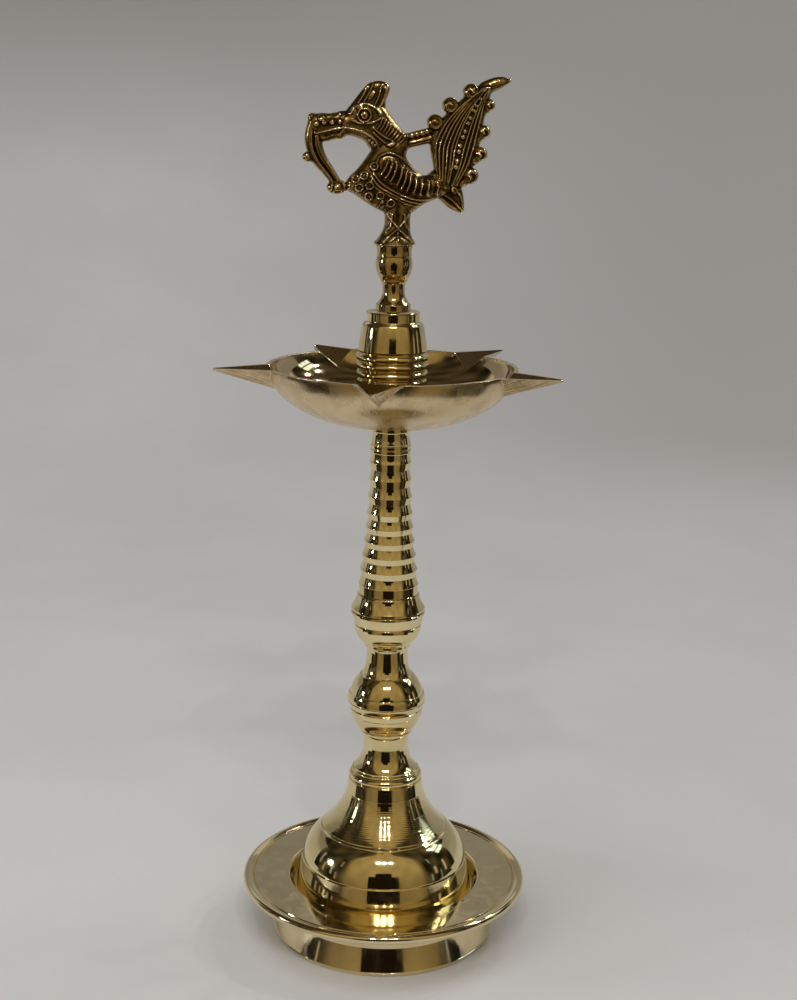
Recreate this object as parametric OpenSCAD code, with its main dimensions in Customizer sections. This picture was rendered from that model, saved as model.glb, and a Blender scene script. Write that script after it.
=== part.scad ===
// Standing oil lamp of turned and cast brass (samai), in millimetres.
// The lamp stands on the plane z = 0 with its axis on Z. The bird lies in the XZ plane, head towards -X.
// Turned sections are drawn as half outlines [radius, height above the section's own seat].

/* [Base] */
// Outer radius of the drip plate
plate_r = 64.5; // [62:0.5:70]
// Height of the flat top of the drip plate
plate_top = 25.5; // [25:0.5:28]
// Outer radius of the foot ring at the floor
foot_r = 50.3; // [49.5:0.1:51]
// Height of the dome's seat in the plate
dome_seat = 19.4; // [19:0.1:20]
// Height of the dome's collar, where the lower stem stands
base_h = 75.9; // [74:0.1:80]

/* [Stems] */
// Length of the lower stem
lower_h = 75.5; // [75:0.5:80]
// Length of the ribbed upper stem
upper_h = 83.5; // [83.5:0.5:88]
// Radius that each rib's edge stands proud of the band below it
rib_edge = 0.35; // [0.2:0.05:0.5]

/* [Bowl] */
// Outer radius of the bowl's rim
bowl_r = 54.0; // [53:0.1:55]
// Height of the rim above the bowl's underside
bowl_h = 25.2; // [24.5:0.1:26]
// Wall thickness of the bowl
bowl_wall = 2.0; // [1.8:0.1:2.4]
// Number of wick spouts
spout_count = 5; // [3:1:5]
// Distance from the axis to a spout's tip
spout_reach = 76.6; // [72:0.2:80]
// Turn of the bowl on the stem, degrees from a spout straight in front
bowl_turn = -7.8; // [-36:0.2:36]

/* [Bell and finial] */
// Height of the bell above the bowl's seal
bell_h = 43.3; // [43:0.1:46]
// Height of the turned neck under the bird
neck_h = 27.9; // [27.5:0.1:30]

/* [Threads and fits] */
// Radius of the three stem studs
stud_r = 5.0; // [4:0.1:5.2]
// Length of stud screwed into the section below
engaged = 9.0; // [6:0.5:10]
// Radius of the finial's stud
pin_r = 2.5; // [2:0.1:2.7]
// Length of finial stud screwed into the bell
pin_engaged = 6.0; // [4:0.5:7]
// Radial running clearance of the studs
fit = 0.05; // [0.03:0.01:0.1]
// Gap between the faces of two sections screwed together
seat_gap = 0.15; // [0.1:0.05:0.3]

/* [Hidden] */

// Section seats, stacked from the floor up
cup_z = base_h + lower_h;
bowl_z = cup_z + upper_h + seat_gap;
bowl_floor = 3;
seal_t = 2;
bell_z = bowl_z + bowl_floor + seal_t + seat_gap;
neck_z = bell_z + bell_h;
bird_z = neck_z + neck_h;

// Dome's tail, washer and nut under the plate
tail_r = 6;
tail_low = 7;
plate_floor = 16.4;
washer_t = 1.6;
nut_t = 6;
nut_af = 18;
part_gap = 0.05;
round_fn = 96;
bore_extra = 2.4;

// Colours
brass = "#c9a24a";
satin_brass = "#d2b169";
dark_brass = "#8a6a2a";
steel_grey = "#8d9093";
fibre = "#7a3b2a";

// Points on an arc about [cr, cz]
function arc(cr, cz, r, a0, a1, n = 6) =
    [for (i = [0:n]) let (a = a0 + (a1 - a0) * i / n) [cr + r * cos(a), cz + r * sin(a)]];

// Points on a cubic curve, without its first point
function curve(p0, p1, p2, p3, n = 8) =
    [for (i = [1:n]) let (t = i / n, s = 1 - t)
        s * s * s * p0 + 3 * s * s * t * p1 + 3 * s * t * t * p2 + t * t * t * p3];

// A closed smooth line through a few points
function smooth(p, n = 5) =
    let (c = len(p))
    [for (k = [0:c - 1]) for (i = [0:n - 1])
        let (
            a = p[(k + c - 1) % c],
            b = p[k],
            d = p[(k + 1) % c],
            e = p[(k + 2) % c],
            t = i / n
        )
        0.5 * (2 * b + (d - a) * t + (2 * a - 5 * b + 4 * d - e) * t * t
            + (3 * b - a - 3 * d + e) * t * t * t)];

// Solid of revolution of a half outline, raised to its seat
module turned(seat, outline) {
    translate([0, 0, seat])
        rotate_extrude($fn = round_fn)
            polygon(outline);
}

// Plain hole of radius r between two heights
module bore(low, high, r) {
    translate([0, 0, low])
        cylinder(h = high - low, r = r, $fn = round_fn);
}

// Threaded stud with chamfered ends
module stud(low, high, r) {
    chamfer = r * 0.16;
    turned(low, [
        [0, 0], [r - chamfer, 0], [r, chamfer],
        [r, high - low - chamfer], [r - chamfer, high - low], [0, high - low]
    ]);
}

// ---------- base ----------

module base_plate() {
    rim_t = 1.9;
    rim_c = plate_r - rim_t;
    engraved = plate_r - 5;
    well_r = 42.8;
    seat_r = 40.6;
    under = plate_top - 3;
    color(satin_brass)
        turned(0, concat(
            [[tail_r + 0.3, plate_floor], [44.2, plate_floor]],
            arc(44.2, plate_floor - 2.4, 2.4, 90, 0, 4),
            [[46.8, 1], [47.4, 0], [foot_r - 0.8, 0]],
            arc(foot_r - 0.9, 0.9, 0.9, -90, 0, 3),
            [[foot_r, 1.8], [foot_r - 0.5, 2.2]],
            curve([foot_r - 0.5, 2.2], [46.4, 8], [46.2, 14], [49.5, 19]),
            curve([49.5, 19], [51.6, 21.8], [55, under - 0.3], [rim_c, under]),
            arc(rim_c, under + rim_t, rim_t, -90, 110, 10),
            [[rim_c - 1.5, plate_top + 0.3], [rim_c - 2.1, plate_top]],
            [[engraved + 0.4, plate_top], [engraved, plate_top - 0.4], [engraved - 0.4, plate_top]],
            arc(well_r + 1.4, plate_top - 1.4, 1.4, 90, 160, 4),
            curve([well_r, plate_top - 1], [42, plate_top - 3], [41.6, dome_seat + 0.6], [seat_r, dome_seat], 5),
            [[tail_r + 0.3, dome_seat]]
        ));
}

module base_dome() {
    foot_gap = part_gap;
    low = dome_seat + foot_gap;
    neck_low = 49.4;
    bore_low = base_h - engaged - bore_extra;
    color(brass)
        turned(0, concat(
            // tail and boss
            [[0, tail_low], [tail_r - 0.6, tail_low], [tail_r, tail_low + 0.6], [tail_r, low], [8, low], [8, 61]],
            // hollow, crown first
            curve([8, 61], [12, 61], [14, 59], [16.5, 55.5], 5),
            curve([16.5, 55.5], [22, 47], [32.5, 46], [33.8, 36]),
            curve([33.8, 36], [34.5, 30], [36.3, 26], [36.9, low], 4),
            // outside, foot first
            [[40.1, low], [40.2, low + 0.9]],
            curve([40.2, low + 0.9], [39.4, 25], [38.3, 29.6], [37.5, 33.9], 6),
            [[37.1, 34.4], [37.4, 34.9]],
            curve([37.4, 34.9], [36.3, 40], [33.4, 45.4], [29.2, 48.3]),
            [[28.8, 48.7], [29.0, 49.1], [28.3, neck_low], [27.9, neck_low + 0.3], [28.0, neck_low + 0.7]],
            curve([28.0, neck_low + 0.7], [22.8, 54.6], [18.9, 60.5], [17.3, 66.5]),
            [[16.7, base_h - 5], [16.4, base_h - 3.7], [15.8, base_h - 3.6]],
            arc(14.6, base_h - 1.9, 1.9, -55, 90, 8),
            // bore for the lower stud
            [[stud_r + fit, base_h], [stud_r + fit, bore_low], [0, bore_low - 2.5]]
        ));
}

module base_washer() {
    top = plate_floor - part_gap;
    color(steel_grey)
        turned(top - washer_t, [
            [tail_r + 0.3, 0], [11.7, 0], [12, 0.3],
            [12, washer_t - 0.3], [11.7, washer_t], [tail_r + 0.3, washer_t]
        ]);
}

module base_nut() {
    top = plate_floor - washer_t - 2 * part_gap;
    corner = nut_af / sqrt(3);
    color(steel_grey)
        difference() {
            intersection() {
                translate([0, 0, top - nut_t])
                    cylinder(h = nut_t, r = corner, $fn = 6);
                // both faces are bevelled off the corners
                turned(top - nut_t, [
                    [0, 0], [corner - 0.9, 0], [corner, 0.55],
                    [corner, nut_t - 0.55], [corner - 0.9, nut_t], [0, nut_t]
                ]);
            }
            bore(top - nut_t - 1, top + 1, tail_r + part_gap);
        }
}

// ---------- stems ----------

module lower_stud() {
    color(brass)
        stud(base_h - engaged, base_h + 17.5, stud_r);
}

module lower_stem() {
    color(brass)
        difference() {
            turned(base_h, concat(
                [[0, seat_gap], [14.8, seat_gap]],
                // two foot rings
                arc(14.6, 0.8, 0.65, -90, 90, 5),
                [[14.3, 1.6], [14.3, 2.1]],
                // flare, waist and small ring under the knop
                curve([14.3, 2.1], [11.6, 4.6], [10.2, 8], [10.1, 12]),
                curve([10.1, 12], [10.1, 15], [10.3, 17.2], [11.0, 18.4], 5),
                [[11.6, 18.6], [11.7, 19.6], [11.5, 19.9]],
                curve([11.5, 19.9], [13.4, 21.4], [14.9, 24], [15.6, 27.2], 6),
                [[16.0, 27.6], [16.2, 30.0], [15.8, 30.4], [16.3, 30.8]],
                // edged knop
                curve([16.3, 30.8], [16.7, 31.6], [17.1, 32.4], [17.4, 33.4], 3),
                [[17.1, 33.6], [17.45, 33.9]],
                curve([17.45, 33.9], [17.5, 35.2], [17.3, 36.5], [16.7, 37.6], 5),
                [[16.35, 37.7], [16.3, 38.0]],
                curve([16.3, 38.0], [15.2, 41.6], [13.6, 43.8], [11.9, 45.6], 6),
                [[11.3, 45.7], [11.2, 46.2]],
                // upper waist
                curve([11.2, 46.2], [9.6, 48.6], [9.2, 51.5], [9.2, 55], 6),
                [[9.4, 58.4], [9.9, 59.2], [10.4, 59.4], [10.5, 60.6], [10.9, 61.2], [11.4, 61.4]],
                // cup
                curve([11.4, 61.4], [13.4, 63], [14.7, 65.4], [14.9, 69.2], 6),
                [[14.5, 69.7], [15.15, 70.1]],
                curve([15.15, 70.1], [15.5, 71.6], [15.9, 73.2], [16.4, 74.4], 4),
                [[16.4, lower_h - 0.35], [16.1, lower_h], [0, lower_h]]
            ));
            bore(base_h - 1, base_h + 18.5, stud_r + fit);
            bore(cup_z - engaged - bore_extra, cup_z + 1, stud_r + fit);
        }
}

module middle_stud() {
    color(brass)
        stud(cup_z - engaged, cup_z + 20, stud_r);
}

// Height and radius of each rib's sharp lower edge, lowest rib first
ribs = [
    [13.3, 12.3], [12.7, 19.1], [11.95, 25.6], [11.15, 32.0], [10.5, 38.2],
    [10.0, 44.6], [9.65, 51.8], [9.25, 59.6], [9.05, 67.1]
];
last_rib = len(ribs) - 1;
cone_share = 0.58;
ribs_top = 71.2;

module upper_stem() {
    color(brass)
        difference() {
            turned(cup_z, concat(
                // flared foot
                [[0, seat_gap], [15.9, seat_gap], [16.3, 0.6], [16.3, 1.5]],
                curve([16.3, 1.5], [15.4, 3.0], [14.3, 4.8], [13.8, 7.4], 6),
                [[13.5, 7.9], [13.1, 8.3]],
                // cone and band of each rib
                [for (i = [0:last_rib])
                    let (
                        here = ribs[i],
                        next_z = i < last_rib ? ribs[i + 1][1] : ribs_top,
                        next_r = i < last_rib ? ribs[i + 1][0] - rib_edge : 8.45
                    )
                    for (p = [
                        [here[0] - rib_edge, here[1] - 0.1],
                        here,
                        [next_r, here[1] + (next_z - here[1]) * cone_share]
                    ]) p],
                // three thin rings
                [[8.45, ribs_top], [8.85, 71.5], [8.85, 72.6], [8.4, 72.9]],
                [[8.7, 73.3], [8.75, 74.6], [8.3, 74.9], [8.55, 75.4], [8.5, 76.0]],
                // cove and collar
                curve([8.5, 76.0], [8.0, 77.6], [8.1, 79.6], [8.5, 80.6], 4),
                [[8.9, 80.9]],
                curve([8.9, 80.9], [9.0, 81.8], [9.2, 82.4], [9.4, upper_h - 0.3], 3),
                [[9.2, upper_h], [0, upper_h]]
            ));
            bore(cup_z - 1, cup_z + 21, stud_r + fit);
            bore(cup_z + upper_h - engaged - bore_extra, bowl_z + 1, stud_r + fit);
        }
}

// ---------- bowl ----------

// Keel line of a spout, outside and inside, as heights above the bowl's underside
keel_root = 50;
keel_low = 15.8;
keel_high = 24.3;
inner_keel_low = 18.0;
inner_keel_high = 24.6;
v_half_angle = 52;

// Wedge whose keel rises from the bowl's wall to the tip, cut level at the top
module v_wedge(low, high, top, start, reach) {
    run = spout_reach - keel_root;
    rise = atan2(high - low, run);
    tall = 24;
    intersection() {
        translate([keel_root, 0, low])
            rotate([0, -rise, 0])
                translate([-30, 0, 0])
                    rotate([90, 0, 90])
                        linear_extrude(height = 80)
                            polygon([
                                [0, 0],
                                [tall * tan(v_half_angle), tall],
                                [-tall * tan(v_half_angle), tall]
                            ]);
        translate([start, -40, 0])
            cube([reach - start, 80, top]);
    }
}

module oil_bowl() {
    rim_in = bowl_r - bowl_wall;
    rim_round = bowl_wall / 2;
    color(satin_brass)
        translate([0, 0, bowl_z])
            rotate([0, 0, bowl_turn - 90])
                difference() {
                    union() {
                        rotate_extrude($fn = round_fn)
                            polygon(concat(
                                [[0, 0], [14, 0]],
                                curve([14, 0], [31, 0.8], [51.0, 9.0], [bowl_r, bowl_h - 1], 12),
                                arc(bowl_r - rim_round, bowl_h - rim_round, rim_round, 0, 90, 3),
                                [[0, bowl_h]]
                            ));
                        for (i = [0:spout_count - 1])
                            rotate([0, 0, i * 360 / spout_count])
                                v_wedge(keel_low, keel_high, bowl_h, 30, spout_reach);
                    }
                    // oil space
                    rotate_extrude($fn = round_fn)
                        polygon(concat(
                            [[0, bowl_floor], [14, bowl_floor]],
                            curve([14, bowl_floor], [30.5, 3.6], [49.0, 11.3], [rim_in, bowl_h - 1], 12),
                            [[rim_in + 0.4, bowl_h + 1], [0, bowl_h + 1]]
                        ));
                    for (i = [0:spout_count - 1])
                        rotate([0, 0, i * 360 / spout_count])
                            v_wedge(inner_keel_low, inner_keel_high, bowl_h + 3, 38, spout_reach + 1);
                    bore(-1, bowl_floor + 1, stud_r + 0.3);
                }
}

module bowl_seal() {
    color(fibre)
        turned(bowl_z + bowl_floor, [
            [stud_r + 0.6, 0], [12, 0], [12, seal_t], [stud_r + 0.6, seal_t]
        ]);
}

module bowl_stud() {
    color(brass)
        stud(cup_z + upper_h - engaged, bell_z + 22, stud_r);
}

// ---------- bell ----------

module bell_cap() {
    ring_r = 1.75;
    rings = [16.9, 20.6, 24.1];
    ring_out = 15.5;
    color(brass)
        difference() {
            turned(bell_z, concat(
                [[0, 0], [16.4, 0]],
                arc(16.2, 1.2, 1.2, -80, 70, 5),
                curve([16.6, 2.4], [15.6, 3.4], [15.2, 6], [15.1, 14.2], 4),
                // three rolled rings
                [for (z = rings) for (p = arc(ring_out - ring_r, z, ring_r, -75, 75, 6)) p],
                // body, shoulder and collar
                curve([14.9, 26.4], [14.5, 30], [14.0, 34], [13.2, 37.4], 6),
                curve([13.2, 37.4], [13.0, 38.2], [12.4, 38.8], [11.5, 39.0], 4),
                [[11.3, 39.3], [11.25, bell_h - 0.7], [11.5, bell_h - 0.3]],
                [[11.3, bell_h], [10.9, bell_h], [8.6, bell_h - 0.25], [0, bell_h - 0.25]]
            ));
            bore(bell_z - 1, bell_z + 23, stud_r + fit);
            bore(neck_z - pin_engaged - 1.2, neck_z + 1, pin_r + fit);
        }
}

// ---------- finial ----------

module finial_stud() {
    color(brass)
        stud(neck_z - pin_engaged, neck_z + 11.5, pin_r);
}

peg_r = 3;
peg_l = 7;

module finial_neck() {
    low = seat_gap;
    color(dark_brass)
        difference() {
            turned(neck_z, concat(
                [[0, low], [7.4, low], [7.45, 2.7]],
                arc(6.9, 2.8, 0.55, 0, 80, 3),
                // waist
                curve([7.0, 3.4], [5.6, 4.6], [4.7, 6.4], [4.7, 9.2], 6),
                curve([4.7, 9.2], [4.7, 10.8], [5.0, 12.0], [5.5, 12.7], 4),
                [[5.8, 12.9], [5.7, 13.3]],
                // bead and ring
                curve([5.7, 13.3], [6.6, 14.6], [7.1, 15.8], [7.3, 17.0], 4),
                curve([7.3, 17.0], [7.9, 18.6], [7.9, 20.8], [7.3, 22.8], 6),
                [[7.0, 23.0], [7.4, 23.4]],
                curve([7.4, 23.4], [7.2, 24.6], [7.3, 26.2], [7.8, neck_h - 0.4], 4),
                [[7.6, neck_h], [0, neck_h]]
            ));
            bore(neck_z - 1, neck_z + 12.5, pin_r + fit);
            bore(bird_z - peg_l - 0.5, bird_z + 1, peg_r + part_gap);
        }
}

// Flat shape in the bird's plane, its edges thinned towards the rim like a lens
module cast_leaf(outline, thick, centre, spread) {
    ball_r = (spread * spread + thick * thick / 4) / thick;
    intersection() {
        rotate([90, 0, 0])
            linear_extrude(height = thick, center = true)
                polygon(outline);
        translate([centre[0], thick / 2 - ball_r, centre[1]])
            sphere(r = ball_r, $fn = 200);
        translate([centre[0], ball_r - thick / 2, centre[1]])
            sphere(r = ball_r, $fn = 200);
    }
}

// Round bar between two points of the bird's plane
module bar(from, to, r) {
    run = to - from;
    translate([from[0], 0, from[1]])
        rotate([0, atan2(run[0], run[1]), 0])
            cylinder(h = norm(run), r = r, $fn = 32);
}

module knob(at, r) {
    translate([at[0], 0, at[1]])
        sphere(r = r, $fn = 40);
}

// Rolled curl of the tail, a short drum with its axis across the bird
module curl(at, r, width) {
    translate([at[0], 0, at[1]])
        rotate([90, 0, 0])
            cylinder(h = width, r = r, center = true, $fn = 40);
}

module peacock() {
    // body from the chest round under the belly to the tail root and back along the wing
    body = [
        [-19.5, 26], [-17, 20.5], [-10.5, 16], [-3, 13.6], [4, 13.6], [11, 16.6], [18, 19.2],
        [23, 21], [24, 26], [18, 29], [12.3, 28.4], [7, 32.2], [4.4, 37], [4, 42],
        [-4, 45], [-10, 42], [-11, 37], [-14.5, 33], [-18.5, 29]
    ];
    // beak, head and the front and back of the neck
    head = [
        [-36.5, 50.5], [-34, 52.8], [-27, 53.2], [-21, 54.2], [-17, 57.5], [-9, 58], [-4.5, 55.6],
        [-1.4, 51.3], [3.7, 45.4], [4.5, 39], [-3, 36], [-9, 39.5], [-13.5, 42.8], [-20, 45],
        [-27, 43.6], [-31, 42], [-35.5, 45]
    ];
    crest = [
        [-20.9, 53.8], [-18.2, 58], [-14.4, 62.6], [-11, 65.4], [-7, 66.4], [-4.1, 65.7],
        [-2.9, 63.6], [-4.4, 58.9], [-5, 54], [-12, 50]
    ];
    tail = [
        [17, 20], [24, 20], [29, 25.5], [33, 36], [35.5, 50], [38.5, 59.5], [43, 64.2],
        [46.8, 67.6], [45.8, 68.5], [38.5, 67], [30, 62], [23, 56], [17, 49], [14.2, 40], [15, 30]
    ];
    leaf = [[18, 20], [22.6, 15.6], [27.2, 13.6], [29, 14.8], [28.8, 18], [27.4, 25], [21, 25]];
    left_curls = [[16.6, 51.6, 3.5], [21.6, 57.6, 3.5], [29.6, 62.8, 3.4]];
    right_curls = [[36.8, 58.6, 3.0], [35.8, 48.2, 2.9], [34.2, 38.8, 3.0], [31.6, 30.4, 3.0]];
    strand_c = [-20.5, 41];
    strand_r = 14;
    color(dark_brass)
        translate([0, 0, bird_z + part_gap]) {
            // pedestal and peg
            turned(0, concat(
                [[0, -peg_l], [peg_r - 0.4, -peg_l], [peg_r, 0.4 - peg_l], [peg_r, 0], [8.2, 0], [8.8, 0.5], [8.6, 1.2]],
                curve([8.6, 1.2], [6.6, 3.4], [5.2, 6.4], [5.1, 10], 6),
                curve([5.1, 10], [5.1, 12.0], [5.4, 14.0], [6.4, 16.0], 4),
                [[6.0, 20], [0, 20]]
            ));
            cast_leaf(smooth(body), 13, [1, 28], 27);
            cast_leaf(smooth(head), 10, [-12, 49], 28);
            cast_leaf(smooth(crest), 5, [-11, 58], 16);
            cast_leaf(smooth(tail), 8.4, [28, 44], 36);
            cast_leaf(smooth(leaf), 5, [24, 20], 12);
            // strand from the beak down to the bulb at the chest
            translate([strand_c[0], 0, strand_c[1]])
                rotate([90, 0, 0])
                    rotate([0, 0, 150])
                        rotate_extrude(angle = 124, $fn = 72)
                            translate([strand_r, 0])
                                circle(r = 3.1, $fn = 32);
            bar([-25, 24], [-17, 24.4], 3.3);
            knob([-24.6, 24], 4.0);
            knob([-34.6, 50.9], 2.5);
            knob([-36.6, 35.6], 2.4);
            // bridge from the nape to the tail: beaded rope over a plain bar
            bar([2.5, 43.6], [19.5, 48.2], 2.1);
            bar([3, 41.6], [17, 43.2], 2.3);
            for (c = left_curls)
                curl(c, c[2], 6.4);
            for (c = right_curls)
                curl(c, c[2], 6.4);
            // eyes
            for (side = [-1, 1])
                translate([-13.4, side * 4.2, 52.8])
                    sphere(r = 1.4, $fn = 24);
        }
}

base_plate();
base_dome();
base_washer();
base_nut();
lower_stud();
lower_stem();
middle_stud();
upper_stem();
oil_bowl();
bowl_seal();
bowl_stud();
bell_cap();
finial_stud();
finial_neck();
peacock();
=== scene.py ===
"""Standing brass oil lamp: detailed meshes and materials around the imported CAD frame. Outlines are in mm."""
import math

import bpy
import numpy as np
from mathutils import Matrix, Vector


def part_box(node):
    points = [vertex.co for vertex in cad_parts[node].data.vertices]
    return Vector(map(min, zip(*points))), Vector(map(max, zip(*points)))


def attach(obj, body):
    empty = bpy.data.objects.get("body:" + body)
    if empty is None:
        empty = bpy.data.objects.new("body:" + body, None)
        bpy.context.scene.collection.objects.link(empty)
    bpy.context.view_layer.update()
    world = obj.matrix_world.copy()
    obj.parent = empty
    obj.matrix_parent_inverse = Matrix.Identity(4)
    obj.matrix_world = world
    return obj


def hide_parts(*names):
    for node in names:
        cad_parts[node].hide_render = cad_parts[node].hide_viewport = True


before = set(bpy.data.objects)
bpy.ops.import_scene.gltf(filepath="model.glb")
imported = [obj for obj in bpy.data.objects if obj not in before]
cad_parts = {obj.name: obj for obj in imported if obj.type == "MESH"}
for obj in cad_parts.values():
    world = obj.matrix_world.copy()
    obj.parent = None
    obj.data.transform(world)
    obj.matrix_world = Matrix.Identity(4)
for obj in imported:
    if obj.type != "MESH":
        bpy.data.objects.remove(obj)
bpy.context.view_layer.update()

MM = 0.001
AROUND, AROUND_BASE = 224, 256      # columns round a turned piece, and round the wide ones
TURN_UV = 100.0                     # UV width of a full turn, in mm
MIDDLE = 0.19                       # height in metres that the room is centred on
rng = np.random.default_rng(7)

BASE_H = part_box("base_dome")[1].z / MM
CUP_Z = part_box("lower_stem")[1].z / MM
BOWL_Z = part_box("oil_bowl")[0].z / MM
BELL_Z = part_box("bell_cap")[0].z / MM
NECK_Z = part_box("bell_cap")[1].z / MM
BIRD_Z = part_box("finial_neck")[1].z / MM
GAP = 0.15                          # between two sections' faces
TAP, FINE_TAP = 5.05, 2.55          # radii of the tapped holes, the sections' and the finial's


# ---------- outlines ----------

def arc(cr, cz, r, a0, a1, n=14):
    """Points on an arc about (cr, cz)."""
    return [(cr + r * math.cos(math.radians(a0 + (a1 - a0) * i / n)),
             cz + r * math.sin(math.radians(a0 + (a1 - a0) * i / n))) for i in range(n + 1)]


def curve(p0, p1, p2, p3, n=22):
    """Points on a cubic curve, without its first point."""
    p0, p1, p2, p3 = (np.array(p, float) for p in (p0, p1, p2, p3))
    out = []
    for i in range(1, n + 1):
        t = i / n
        s = 1 - t
        out.append(tuple(s ** 3 * p0 + 3 * s * s * t * p1 + 3 * s * t * t * p2 + t ** 3 * p3))
    return out


def eased(line, radius=0.18, sharp=13.0):
    """Rounds the corners of an outline as polishing does, with a support point on both sides."""
    pts = [np.array(p, float) for p in line]
    pts = [pts[0]] + [q for p, q in zip(pts, pts[1:]) if np.hypot(*(q - p)) > 1e-4]
    out = [pts[0]]
    for a, b, c in zip(pts, pts[1:], pts[2:]):
        u, v = b - a, c - b
        lu, lv = np.hypot(*u), np.hypot(*v)
        turn = math.acos(max(-1.0, min(1.0, float(u @ v) / (lu * lv))))
        if math.degrees(turn) < sharp:
            out.append(b)
            continue
        cut = min(radius * math.tan(min(turn, 2.6) / 2), 0.42 * lu, 0.42 * lv)
        s, e = b - u / lu * cut, b + v / lv * cut
        if lu > 2.4 * cut:
            out.append(s - u / lu * cut * 0.5)
        for t in np.linspace(0, 1, 7):
            out.append((1 - t) ** 2 * s + 2 * t * (1 - t) * b + t * t * e)
        if lv > 2.4 * cut:
            out.append(e + v / lv * cut * 0.5)
    out.append(pts[-1])
    return out


def drawn(line, *steps):
    """The line with more steps: a point, or a curve from its last point as (control, control, end, points)."""
    for step in steps:
        line = line + (curve(line[-1], *step) if isinstance(step[0], tuple) else [step])
    return line


def thread_rings(r, z0, z1, pitch=1.5, deep=0.55):
    """Points of a tapped hole's wall from z0 to z1, cut outward from radius r."""
    turns = max(1, int(abs(z1 - z0) / pitch))
    step = (z1 - z0) / turns
    out = [(r, z0)]
    for i in range(turns):
        out += [(r, z0 + step * (i + 0.12)), (r + deep, z0 + step * (i + 0.5)), (r, z0 + step * (i + 0.88))]
    return out + [(r, z1)]


def tapped_foot(deep, thread, mouth, low):
    """Outline of the blind tapped hole in a section's foot, from its end on the axis out to its mouth."""
    return [(0, deep), (TAP, deep)] + thread_rings(TAP, thread, 1.0) + [(TAP, mouth), (TAP + 0.5, low)]


def tapped_top(tall, tip=11.4):
    """Outline of the blind tapped hole in a section's top, from its mouth down to its end on the axis."""
    mouth = [(TAP + 0.5, tall), (TAP, tall - 0.5)]
    return mouth + thread_rings(TAP, tall - 0.8, tall - 10.6) + [(TAP, tall - 11.4), (0, tall - tip)]


# ---------- meshes ----------

def new_mesh(name, verts, quads, tris=(), uv=None):
    """Object from arrays: verts in metres, faces as index rows, uv as one pair per face corner in mm."""
    me = bpy.data.meshes.new(name)
    faces = [tuple(f) for f in quads] + [tuple(f) for f in tris]
    me.from_pydata([tuple(v) for v in verts], [], faces)
    if uv is not None:
        layer = me.uv_layers.new(name="UVMap")
        layer.data.foreach_set("uv", np.asarray(uv, np.float32).ravel())
    me.polygons.foreach_set("use_smooth", [True] * len(me.polygons))
    me.update()
    ob = bpy.data.objects.new(name, me)
    bpy.context.scene.collection.objects.link(ob)
    return ob


def ring_quads(rows, cols, inward=False):
    """Quads between closed rings of vertices, as an array of (row, column, corner)."""
    i = np.arange(rows - 1)[:, None] * cols
    j = np.arange(cols)[None, :]
    k = (j + 1) % cols
    corners = [i + j, i + k, i + cols + k, i + cols + j]
    return np.stack(corners[:1] + corners[:0:-1] if inward else corners, -1)


def fan(hub, ring, flip=False):
    """Triangles from one vertex to a closed ring of them."""
    after = np.roll(ring, -1)
    return np.stack([np.full(len(ring), hub), *((after, ring) if flip else (ring, after))], -1)


def revolve(name, outline, base, wobble=None, around=AROUND):
    """Mesh turned round Z from an outline, closed where an end is on the axis. UV is (turn, length along it), mm."""
    pts = np.array(outline, float)
    along = np.concatenate([[0], np.cumsum(np.hypot(*np.diff(pts, axis=0).T))])
    start, end = pts[0, 0] < 1e-6, pts[-1, 0] < 1e-6
    kept = slice(1 if start else 0, -1 if end else None)
    ring, ring_v = pts[kept], along[kept]
    ang = np.linspace(0, 2 * np.pi, around, endpoint=False) + np.pi / 2
    rr = ring[:, :1] * np.ones((1, around))
    zz = ring[:, 1:] * np.ones((1, around)) + base
    if wobble is not None:
        rr = rr + wobble(rr, zz, ang[None, :])
    verts = np.stack([rr * np.cos(ang), rr * np.sin(ang), zz], -1).reshape(-1, 3) * MM
    col = np.arange(around)
    left, right = col * TURN_UV / around, (col + 1) * TURN_UV / around
    v = ring_v[:, None] + 0 * left
    u0, u1 = left + 0 * v[1:], right + 0 * v[1:]
    uv = np.stack([u0, v[:-1], u1, v[:-1], u1, v[1:], u0, v[1:]], -1).reshape(-1, 2)
    hubs, tris, tri_uv = [], [], []
    for on_axis, at, first in ((start, 0, 0), (end, -1, (len(ring) - 1) * around)):
        if not on_axis:
            continue
        tris.append(fan(len(verts) + len(hubs), first + col, flip=at == 0))
        hubs.append((0, 0, (pts[at, 1] + base) * MM))
        hub_v, edge_v = np.full(around, along[at]), np.full(around, ring_v[at])
        a, b = (right, left) if at == 0 else (left, right)
        tri_uv.append(np.stack([left, hub_v, a, edge_v, b, edge_v], -1))
    if hubs:
        verts = np.concatenate([verts, hubs])
        tris = np.concatenate(tris)
        uv = np.concatenate([uv, np.concatenate(tri_uv).reshape(-1, 2)])
    return new_mesh(name, verts, ring_quads(len(ring), around).reshape(-1, 4), tris, uv)


def mark(ob, name, values):
    """Stores one number for each vertex, for the material to read."""
    layer = ob.data.attributes.new(name, "FLOAT", "POINT")
    layer.data.foreach_set("value", values.astype(np.float32).ravel())


def stand_in(ob, node, body, mat):
    """The piece takes a CAD node's place, rides on its body and gets its finish."""
    ob.data.materials.append(mat)
    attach(ob, body)
    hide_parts(node)


# ---------- materials ----------

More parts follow.
